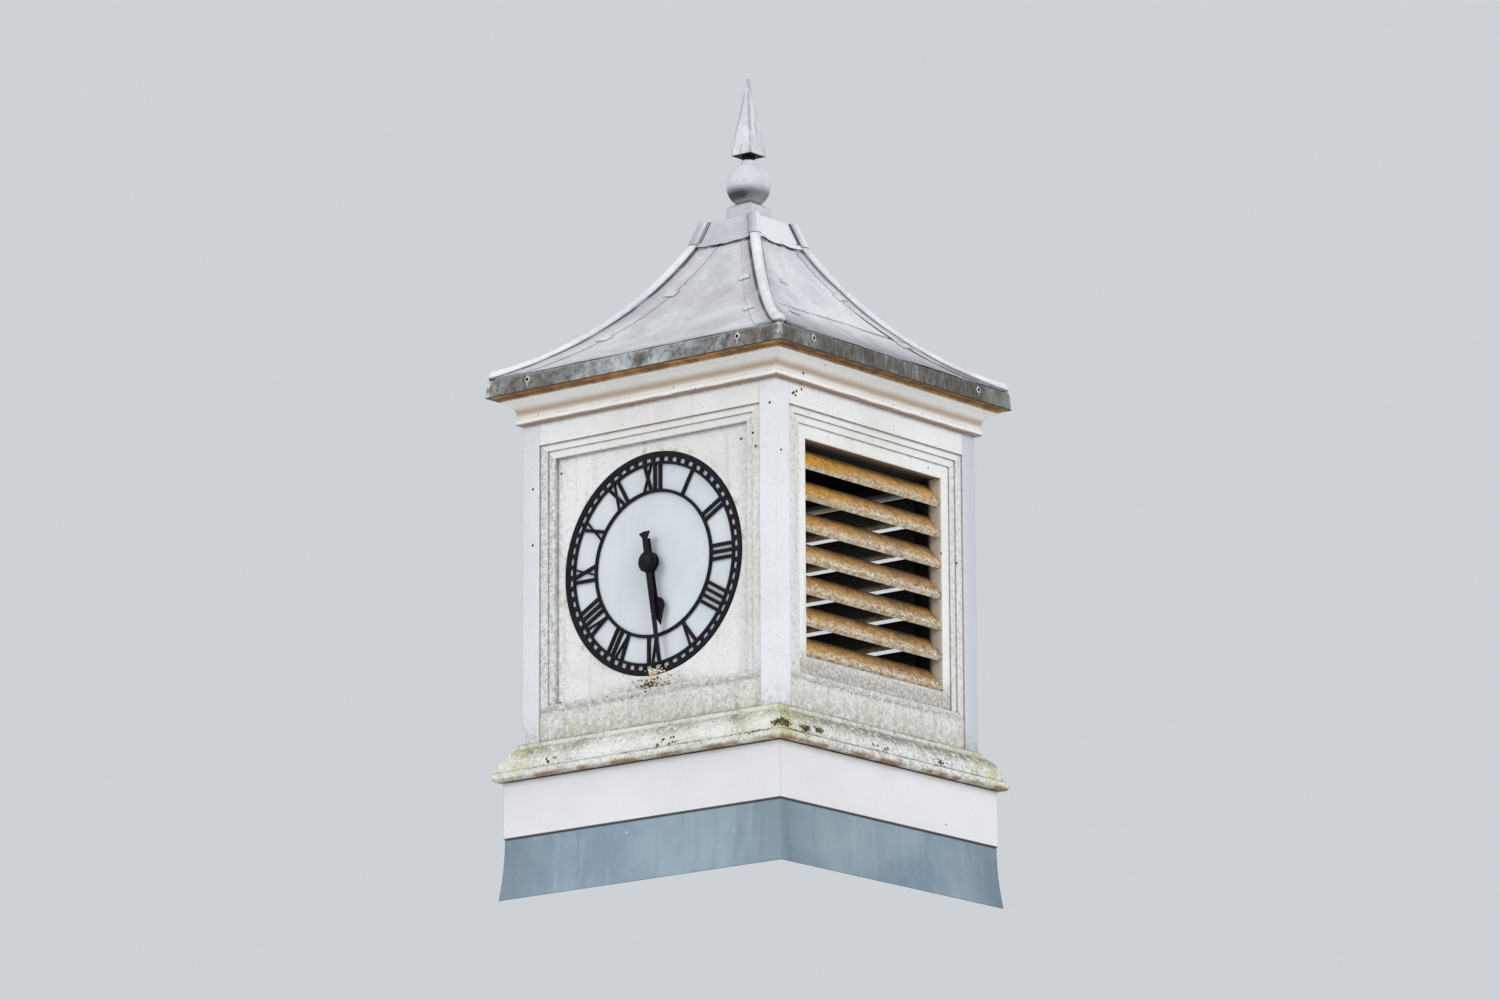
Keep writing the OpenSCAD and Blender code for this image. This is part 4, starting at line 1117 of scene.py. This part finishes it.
def sheet_lift(side, along, angle):
    """Height of the dressed lead over the boards: dents, a bead at the eave and an upturn at the hips."""
    half, seed = slope_half(angle), DENTS[side]
    broad = ripple(along, angle * ARC_R, 0.17, seed)
    narrow = ripple(along, angle * ARC_R, 0.05, seed + 1)
    dents = 0.0009 * broad + 0.0003 * narrow
    bead = EDGE_BEAD * np.exp(-(((half - ROOF_EDGE_HALF + 0.004) / 0.005) ** 2))
    upturn = UPTURN * np.exp(-(half - abs(along) - STEM_CLEAR) / 0.012)
    return np.maximum(0.0019 + dents, 0.0007) + bead + upturn


def strip_lift(side, along, angle):
    """Height of a strip: the sheet's and one layer more, or two above the lap of a slope in two sheets."""
    laps = 0.0 if side == "front" else np.clip((slope_z(angle) - LAP_Z + 0.014) / 0.014, 0, 1)
    return sheet_lift(side, along, angle) + LAYER * (1 + laps) + 0.0003


def between(side, along, angle, height, thick=LEAD_T):
    """Points and faces of the lead between a height over the boards and its thickness below that."""
    points, faces = closed_sheet(slope_point(along, angle, height),
                                 slope_point(along, angle, height - thick))
    return turned(points, side), faces


def slope_lead(side):
    """Finish of the lead on one side."""
    return FRONT_LEAD if side == "front" else LEAD


half_widths = [round(float(slope_half(arc_angle(z))), 3) for z in (ROOF_FOOT_Z, CAP_Z)]
print("lead", LEAD_T, "m thick on slopes that go in from", *half_widths)


# %% Sheets from hip to hip
def climbing(foot_z, head_z, rows, columns):
    """Roof arc angles of a grid of points whose rows climb from one height to another."""
    return np.linspace(arc_angle(foot_z), arc_angle(head_z), rows)[:, None] * np.ones((1, columns))


def roof_sheet(name, side, foot_z, head_z, lift):
    """One lead sheet of a slope between two heights."""
    rows, columns = 90, 110
    angle = climbing(foot_z, head_z, rows, columns)
    along = (slope_half(angle) - STEM_CLEAR) * np.linspace(-1, 1, columns)[None]
    points, faces = between(side, along, angle, sheet_lift(side, along, angle) + lift)
    return piece(name, points, faces, slope_lead(side), "lead")


roof_sheet("front_lead_sheet", "front", ROOF_FOOT_Z, ROOF_TOP_Z, 0.0)
for side in SIDES[1:]:
    roof_sheet(side + "_lower_lead", side, ROOF_FOOT_Z, LAP_Z + 0.02, 0.0)
    roof_sheet(side + "_upper_lead", side, LAP_Z, ROOF_TOP_Z, LAYER)
print("lead sheets on", len(SIDES), "slopes")

# %% [markdown]
# ## Strips, clips and the cap's apron
#
# Beside each hip roll lies a narrow strip of lead, held down by folded clips. At the left corner of
# the clock face the strip is wide, and beside the other rolls it is narrow, so its edge is worked
# out from the hip and not drawn parallel to it. The apron closes the joint under the cap: it sags
# between the hips, and its edge stands up a little where it was beaten least.


# %% Strips beside the hip rolls
def strip_edge(side, hand, angle):
    """Distance of a strip's free edge from its hip, a little wavy and wider towards the eave."""
    width, spread = (0.098, 0.05) if hand < 0 else (STRIP_WIDTH, STRIP_SPREAD)
    wave = 0.0025 * ripple(angle * ARC_R, 0 * angle, 0.2, DENTS[side] + 5 + hand)
    return np.minimum(width + spread * (STRIP_Z - slope_z(angle)) + wave, slope_half(angle) - 0.01)


def hip_strip(name, side, hand):
    """Lead strip beside one hip roll, close on the slope's own sheets."""
    rows, columns = 110, 14
    angle = climbing(ROOF_FOOT_Z + 0.002, ROOF_TOP_Z, rows, columns)
    off = STEM_CLEAR + (strip_edge(side, hand, angle) - STEM_CLEAR) * np.linspace(0, 1, columns)[None]
    along = hand * (slope_half(angle) - off)
    points, faces = between(side, along, angle, strip_lift(side, along, angle))
    return piece(name, points, faces, slope_lead(side), "lead")


for side in SIDES:
    hip_strip(side + "_hip_strip_start", side, -1)
    hip_strip(side + "_hip_strip_end", side, 1)
print("hip strips", 2 * len(SIDES))


# %% Clips that hold the strips
CLIP_WIDTH = 0.036
CLIP_LENGTH = 0.020
CLIP_T = 0.0030
CLIP_LEVELS = (STRIP_Z, 1.523)


def clip_sheet(side, hand, z):
    """Folded clip over a strip's edge: it lies half on the strip and half on the sheet beside it."""
    rows, columns = 7, 19
    rise = np.linspace(-0.5, 0.5, rows)[:, None] * CLIP_LENGTH / ARC_R
    angle = arc_angle(z) + rise * np.ones((1, columns))
    edge = strip_edge(side, hand, angle)
    off = edge + np.linspace(-0.55, 0.45, columns)[None] * CLIP_WIDTH
    along = hand * (slope_half(angle) - off)
    over = np.clip((edge + 0.004 - off) / 0.004, 0, 1)
    sheet, strip = sheet_lift(side, along, angle), strip_lift(side, along, angle)
    return between(side, along, angle, sheet + 0.0016 + LAYER + over * (strip - sheet), CLIP_T)


for number, z in enumerate(CLIP_LEVELS):
    clips = [clip_sheet(side, hand, z + 0.003 * hand) for side in SIDES for hand in (-1, 1)]
    piece(f"lead_clips_{number + 1}", *joined(*clips), CLIP_LEAD, "lead")
print("clips", 2 * len(SIDES) * len(CLIP_LEVELS))


# %% Apron under the cap
APRON_T = 0.0038


def cap_apron(name, side):
    """Apron from one hip roll to the next: its edge sags in the middle, waves and lifts a little."""
    rows, columns = 16, 90
    across = np.linspace(-1, 1, columns)[None] * np.ones((rows, 1))
    wave = ripple(across * 0.1, 0 * across, 0.045, DENTS[side])
    foot_z = CAP_Z - 0.0115 - 0.004 * (1 - across**2) + 0.0016 * wave
    z = foot_z + (CAP_Z + 0.007 - foot_z) * np.linspace(0, 1, rows)[:, None]
    angle = arc_angle(z)
    along = across * (slope_half(angle) - STEM_CLEAR)
    open_edge = np.clip(ripple(across * 0.1, 0 * across, 0.06, DENTS[side] + 3), 0, 1)
    loose = 0.0030 * open_edge * np.clip((CAP_Z - z) / 0.012, 0, 1)
    drawn = np.interp(z - CAP_Z, [-0.016, -0.002, 0.002, 0.007], [0.0080, 0.0080, 0.0066, 0.003])
    lying = strip_lift(side, along, angle) + 0.0026
    height = np.where(z < CAP_Z, np.maximum(drawn, np.minimum(lying, 0.0105)), drawn) + loose
    points, faces = between(side, along, angle, height, APRON_T)
    return piece(name, points, faces, CAP_LEAD, "lead")


for side in SIDES:
    cap_apron(side + "_cap_apron", side)
print("cap aprons", len(SIDES))

# %% [markdown]
# ## Round noses on the hip rolls
#
# The lead of a hip roll is dressed round its foot into a blunt nose. A ball stuck on the end would
# show a seam, so one tube follows the hip, swells to the nose and closes over it.


# %% Noses of the hip rolls
hip_levels = np.array([ROOF_FOOT_Z + 0.0055, (ROOF_FOOT_Z + CAP_Z) / 2, CAP_Z])
HIP_CENTRE, HIP_R = fit_circle(math.sqrt(2) * slope_half(arc_angle(hip_levels)), hip_levels)
ROLL_R = 0.014
ROLL_LIFT = 0.0063
NOSE_R = 0.0168
NOSE_LENGTH = 0.11


def hip_nose(name, corner):
    """Dressed foot of a hip roll: rings on the hip's arc, then on its tangent, closing over as a ball does.

    On the tangent a ring stands R sin(a) on and its radius is R cos(a), with a from 0.15 to 1.5.
    """
    segments, full, tip = 24, 26, 10
    start_r = ROLL_R + 0.0005
    path_r = HIP_R - ROLL_LIFT
    end_off = math.sqrt(2) * (DRIP_OUT - NOSE_R - 0.0007)
    end_angle = 2 * math.pi - math.acos((end_off - HIP_CENTRE[0]) / path_r)
    start_angle = end_angle - NOSE_LENGTH / path_r
    angle = np.concatenate([np.linspace(start_angle, end_angle, full), np.full(tip, end_angle)])
    closing = np.concatenate([np.zeros(full), np.linspace(0.15, 1.5, tip)])
    swell = np.linspace(0, 1, full) ** 2
    radius = np.concatenate([start_r + (NOSE_R - start_r) * swell, np.full(tip, NOSE_R)])
    away = np.stack([np.cos(angle), np.sin(angle)], 1)
    onward = np.stack([-np.sin(angle), np.cos(angle)], 1)
    spine = HIP_CENTRE + path_r * away + onward * (radius * np.sin(closing))[:, None]
    turn = np.linspace(0, 2 * math.pi, segments, endpoint=False)[None]
    r = (radius * np.cos(closing))[:, None]
    lift, aside = r * np.sin(turn), r * np.cos(turn)
    off, up = spine[:, :1] + lift * away[:, :1], spine[:, 1:] + lift * away[:, 1:]
    c, s = math.cos(corner), math.sin(corner)
    points = np.stack([off * c - aside * s, off * s + aside * c, up], -1)
    faces = [grid_quads(full + tip, segments, True), *lids(full + tip, segments)]
    return piece(name, points.reshape(-1, 3), faces, ROLL_LEAD, "lead", smooth_angle=60)


for number, word in enumerate(("front_right", "back_right", "back_left", "front_left")):
    hip_nose(word + "_hip_nose", (number * 2 - 1) * math.pi / 4)
print("hip roll radius", ROLL_R, "nose radius", NOSE_R)

# %% [markdown]
# ## Small fixings
#
# Screws and nails are turned on a lathe once and copied. Each copy gets a three by three frame whose
# last column is the way its head looks, so one function serves all four sides.


# %% Copies of a small turned piece
def facing(looks):
    """Frames whose last column is a direction; the other two columns are any pair square to it."""
    n = looks / np.linalg.norm(looks, axis=1, keepdims=True)
    helper = np.where(abs(n[:, 2:]) < 0.9, [[0.0, 0.0, 1.0]], [[1.0, 0.0, 0.0]])
    a = np.cross(helper, n)
    a /= np.linalg.norm(a, axis=1, keepdims=True)
    return np.stack([a, np.cross(n, a), n], -1)


def copies(name, profile, segments, places, looks, material, slot, body=TURRET):
    """One turned solid with flat lids, repeated at every place."""
    points, sides = lathe(profile, segments)
    faces = (sides, *lids(len(profile), segments))
    made = [repeat(points, part, facing(looks), places) for part in faces]
    return piece(name, made[0][0], [part for _, part in made], material, slot, body)


def named(word, sides=SIDES):
    """Names of the solids of one kind, one for each side."""
    return [side + "_" + word for side in sides]


def at_sides(rows, lean=0.0):
    """Places and looks from rows of side, distance along it, distance outwards and height."""
    places = [turned(np.array([[along, -out, z]]), side)[0] for side, along, out, z in rows]
    looks = [turned(np.array([[0.0, -1.0, lean]]), side)[0] for side, *_ in rows]
    return np.array(places), np.array(looks)


print("a look to the front has the frame", facing(np.array([[0.0, -1.0, 0.0]]))[0].round(2).tolist())


# %% Screws in the drip
WASHER = [(0.0088, -0.001), (0.0090, 0.0), (0.0090, 0.0008), (0.0080, 0.0013)]
SCREW_HEAD = [(0.0050, 0.001), (0.0050, 0.0021), (0.0036, 0.0027), (0.0012, 0.0029)]
drip_lean = DRIP_KICK / (ROOF_FOOT_Z - EAVE_Z)
screw_out = DRIP_OUT - drip_lean * (SCREW_Z - EAVE_Z)
rows = [(side, hand * SCREW_ALONG, screw_out - 0.0004, SCREW_Z) for side in SIDES for hand in (-1, 1)]
screws = at_sides(rows, drip_lean)
copies("drip_washers", WASHER, 24, *screws, CLIP_LEAD, "lead")
copies("drip_screws", SCREW_HEAD, 18, *screws, RING_PAINT, "black_iron")
print("screws", len(screws[0]))

# %% [markdown]
# ## Nails, moss and lichen crumbs
#
# Growth has to sit on the wood whatever its slope, so its places come from rays: a ray is sent at
# the solids from outside, and where it first meets one, that place and the face's normal seat a
# crumb. One crumb of 36 triangles is copied with its own size, turn and flatness.


# %% Seats found by rays
def settle(nodes, rays):
    """Places and normals where sets of rays first meet some solids; rays that miss are left out."""
    starts, heading = (np.concatenate(part) for part in zip(*rays))
    corners = np.concatenate([mesh_triangles(NODES[node].data) for node in nodes]).reshape(-1, 3)
    tree = BVHTree.FromPolygons(corners.tolist(), np.arange(len(corners)).reshape(-1, 3).tolist())
    met = [tree.ray_cast(Vector(start), Vector(way))[:2] for start, way in zip(starts, heading)]
    met = [(tuple(place), tuple(normal)) for place, normal in met if place is not None]
    return np.array([place for place, _ in met]), np.array([normal for _, normal in met])


def aimed(side, along, z, fall=0.0):
    """Ray starts outside one side, and their inward ways, aimed at distances along its face and heights."""
    along, z = np.asarray(along, float), np.asarray(z, float)
    way = turned(np.array([[0.0, 1.0, -fall]]), side)[0]
    starts = turned(np.stack([along, 0 * along - POST_FACE, z], 1), side) - 0.2 * way
    return starts, np.tile(way, (len(along), 1))


def scattered(rng, side, half, foot, head, count, fall=0.0):
    """Rays spread evenly over one side, between two heights and as far to the left as to the right."""
    return aimed(side, rng.uniform(-half, half, count), rng.uniform(foot, head, count), fall)


CRUMB, CRUMB_FACES = pebble(4, 6)
print("one crumb has", len(CRUMB_FACES), "triangles")


# %% Crumbs of growth and their colours
def crumbs(name, nodes, rays, sizes, flat, material, slot, seed, keep=None):
    """Crumbs of growth where rays meet the solids, each with a seeded radius, turn and flatness."""
    rng = np.random.default_rng(seed)
    places, normals = settle(nodes, rays)
    if keep:
        kept = keep(places, normals)
        places, normals = places[kept], normals[kept]
    count = len(places)
    frames = facing(normals)
    spin = rng.uniform(0, 2 * math.pi, count)[:, None]
    a, b = frames[:, :, 0], frames[:, :, 1]
    size = rng.uniform(*sizes, count)[:, None]
    frames = np.stack([size * (a * np.cos(spin) + b * np.sin(spin)),
                       size * rng.uniform(0.6, 1.0, (count, 1)) * (b * np.cos(spin) - a * np.sin(spin)),
                       size * flat * frames[:, :, 2]], -1)
    return piece(name, *repeat(CRUMB, CRUMB_FACES, frames, places), material, slot, smooth_angle=70)


def growth(name, first, second, third):
    """Matt growth of three colours in small clumps."""
    coat = Finish(name)
    coat.two_tone(coat.ramp(coat.cloud(50.0, 4.0), 0.4, 0.6), first, second)
    coat.stain(third, 1.0, coat.ramp(coat.cloud(130.0, 4.0), 0.5, 0.65))
    return coat.close(0.95, coat.cloud(400.0, 4.0), 0.001)


MOSS = growth("moss", "#3b3424", "#6b6334", "#8a7a45")
CRUST = growth("crust", "#e9e0ca", "#cdb180", "#a87a35")
PALE_CRUST = growth("pale_crust", "#efece2", "#dcd2ba", "#a58f63")
RUST = growth("rust", "#2b211d", "#4a342a", "#1c1716")
print("growth finishes", MOSS.name, CRUST.name, RUST.name)


# %% Crumbs on the louvre blades
def blade_rays(side, count, seed):
    """Rays spread over one louvre opening."""
    blades = side + "_louvre_blades"
    return scattered(np.random.default_rng(seed), side, 0.28, low(blades).z, high(blades).z, count)


def on_blade_face(places, normals):
    """Keeps crumbs on faces that look up, not far inside the opening."""
    out = abs(places[:, :2]).max(1)
    return (normals[:, 2] > 0.2) & (out > FRAME_FACE - 0.03)


for number, side in enumerate(SIDES[1:]):
    rays = [blade_rays(side, 700, 5 + number)]
    crumbs(side + "_blade_crust", [side + "_louvre_blades"], rays, (0.0012, 0.0036), 0.4, CRUST,
           "lichen_paint", 50 + number, on_blade_face)
print("crusted louvres", len(SIDES) - 1)


# %% Moss on the base moulding
def clump(side, along, z, count, spread, seed, fall=0.2):
    """Rays that scatter round one spot by the normal distribution, with its spread in metres."""
    rng = np.random.default_rng(seed)
    return aimed(side, rng.normal(along, spread, count), rng.normal(z, spread * 0.42, count), fall)


clumps = [("right", -0.470, 0.351, 90, 0.014), ("right", -0.375, 0.350, 60, 0.012),
          ("right", -0.316, 0.354, 40, 0.010), ("right", -0.05, 0.345, 14, 0.02),
          ("right", 0.2, 0.344, 20, 0.02), ("front", 0.474, 0.350, 60, 0.012),
          ("front", 0.1, 0.344, 14, 0.02), ("front", -0.3, 0.346, 12, 0.02),
          ("back", -0.2, 0.350, 60, 0.014), ("back", 0.36, 0.352, 40, 0.012),
          ("left", -0.1, 0.350, 50, 0.014), ("left", 0.33, 0.348, 40, 0.012)]
clump_rays = [clump(*row, 70 + number) for number, row in enumerate(clumps)]
moulding = named("base_moulding")
crumbs("moss_clumps", moulding, clump_rays, (0.0018, 0.0046), 0.6, MOSS, "weathered_paint", 71)
rng = np.random.default_rng(72)
ledge_rays = [scattered(rng, side, 0.45, BASE_MOULD_Z + 0.02, BASE_MOULD_TOP, 190, 0.9) for side in SIDES]
crumbs("ledge_moss", moulding, ledge_rays, (0.0010, 0.0026), 0.5, MOSS, "weathered_paint", 73,
       lambda places, normals: normals[:, 2] > 0.45)
print("moss clumps", len(clumps))

# %% Growth at the foot of the dial and of the panels
foot_z = DIAL.z - DIAL_R
dial_rays = [clump("front", 0.004, foot_z + 0.010, 80, 0.014, 80),
             clump("front", 0.05, foot_z - 0.012, 24, 0.028, 81)]
moss_rays = [clump("front", -0.005, foot_z - 0.022, 90, 0.024, 85)]
dial_seats = ["clock_board", "panel_mouldings", "dial_ring", "bottom_rails"]
crumbs("dial_crust", dial_seats, dial_rays, (0.0016, 0.0044), 0.6, PALE_CRUST, "lichen_paint", 82)
crumbs("dial_moss", dial_seats, moss_rays, (0.0014, 0.0040), 0.6, MOSS, "weathered_paint", 86)
rng = np.random.default_rng(83)
foot_rays = [scattered(rng, side, 0.37, PANEL_Z - 0.004, PANEL_Z + 0.022, 70, 0.6) for side in SIDES]
foot_seats = ["clock_board", "panel_mouldings", "bottom_rails"] + named("louvre_frame", SIDES[1:])
crumbs("panel_foot_moss", foot_seats, foot_rays, (0.0008, 0.0022), 0.55, MOSS, "weathered_paint", 84)
print("growth from", round(foot_z, 3), "down to", round(PANEL_Z, 3))

# %% Nail heads and rust spots
nails = {
    "front": [(0.300, 1.150), (0.412, 1.227), (0.352, 1.155), (0.361, 1.118),
              (-0.399, 1.116), (-0.399, 0.962), (-0.316, 1.150), (-0.319, 0.524)],
    "right": [(-0.331, 1.320), (-0.356, 1.266), (-0.324, 1.280), (-0.345, 1.271),
              (-0.362, 1.262), (-0.350, 1.259), (-0.412, 1.10), (0.352, 0.93)],
    "back": [(-0.405, 1.19), (0.402, 1.05), (-0.401, 0.72), (0.35, 1.262)],
    "left": [(-0.403, 1.21), (0.404, 0.86), (0.33, 1.268), (-0.398, 0.64)],
}
nail_rays = [aimed(side, *zip(*spots)) for side, spots in nails.items()]
outer = ["corner_posts", "top_rails", "panel_mouldings", "clock_board"]
outer += named("louvre_frame", SIDES[1:]) + named("cornice")
places, looks = settle(outer, nail_rays)
NAIL_HEAD = [(0.0034, -0.001), (0.0036, 0.0005), (0.0024, 0.0013), (0.0007, 0.0016)]
copies("nail_heads", NAIL_HEAD, 10, places, looks, RUST, "weathered_paint")
print("nail heads", len(places))

# %% Domed cap over the boss of the hands
dome = [(0.0205 * math.cos(a), 0.0042 * math.sin(a) - 0.0006) for a in np.linspace(0, 1.45, 9)]
seat, look = np.array([[DIAL.x, low("minute_hand").y, DIAL.z]]), np.array([[0.0, -1.0, 0.0]])
copies("hand_boss_cap", dome, 32, seat, look, HAND_PAINT, "black_metal", "minute_hand")
print("boss cap at", seat[0].round(4).tolist())

# %% [markdown]
# ## World, lamps and floor
#
# The light is plain and soft: a pale sky, a broad key from the upper left of the clock face and a
# weak fill from the right. Camera and gloss rays see one flat pale backdrop in place of the sky.

# %% World and lamps
BACKDROP = tint("#cdd2d6")
world = bpy.data.worlds.new("sky")
bpy.context.scene.world = world
world.use_nodes = True
world.node_tree.nodes.clear()
net = Net(world.node_tree)
up = net.parts(net.add("TexCoord", {}).outputs["Generated"])["Z"]
sky_colour = net.mix(net.ramp(up, -0.6, 1.0), tint("#d8d8d8"), tint("#ffffff"))
sky = net.add("Background", {"Color": sky_colour, "Strength": 0.62})
seen = net.add("Background", {"Color": BACKDROP, "Strength": 1.0})
path = net.add("LightPath", {}).outputs
shows = net.either(net.either(path["Is Camera Ray"], path["Is Glossy Ray"]), path["Is Transmission Ray"])
either = net.add("MixShader", {0: shows, 1: sky.outputs[0], 2: seen.outputs[0]})
net.tree.links.new(either.outputs[0], net.add("OutputWorld", {}).inputs["Surface"])


def sun(name, towards, strength, spread):
    """Distant lamp that shines from a direction, with soft shadows by its angle."""
    data = bpy.data.lights.new(name, "SUN")
    data.energy = strength
    data.angle = math.radians(spread)
    lamp = placed(name, data)
    lamp.rotation_mode = "QUATERNION"
    lamp.rotation_quaternion = Vector(towards).to_track_quat("Z", "Y")
    return lamp


lamps = [sun("key", (-0.30, -0.80, 0.50), 0.95, 24), sun("fill", (0.80, -0.25, 0.55), 1.50, 40)]
bpy.context.scene.view_settings.view_transform = "Standard"
print("lamps", [(lamp.name, round(lamp.data.energy, 2)) for lamp in lamps])


# %% Floor
def stage_plane(name, half, z, material):
    """Level square of the stage at a height."""
    corners = np.array([[-1, -1, 0], [1, -1, 0], [1, 1, 0], [-1, 1, 0]]) * half + [0, 0, z]
    mesh = bpy.data.meshes.new(name)
    mesh.from_pydata(corners.tolist(), [], [[0, 1, 2, 3]])
    mesh.materials.append(material)
    made = placed(name, mesh)
    return made


def floor_material(name, from_beneath):
    """Pale matt floor from above; from beneath it is clear, or shows the backdrop's colour."""
    made = empty_material(name)
    net = Net(made.node_tree)
    top = net.add("BsdfDiffuse", {"Color": tint("#dcdedf")})
    if from_beneath == "backdrop":
        behind = net.add("Emission", {"Color": BACKDROP})
    else:
        behind = net.add("BsdfTransparent", {})
    back = net.add("NewGeometry", {}).outputs["Backfacing"]
    either = net.add("MixShader", {0: back, 1: top.outputs[0], 2: behind.outputs[0]})
    net.tree.links.new(either.outputs[0], net.add("OutputMaterial", {}).inputs["Surface"])
    return made


FLOOR_HALF = 40.0
FOOT_HALF = high("front_upstand").x
stage_plane("floor", FLOOR_HALF, -0.0012, floor_material("floor_clear_beneath", "clear"))
stage_plane("foot_patch", FOOT_HALF - 0.0008, -0.0006, floor_material("floor_patch", "backdrop"))
print("foot of the turret is", round(2 * FOOT_HALF, 3), "m wide")
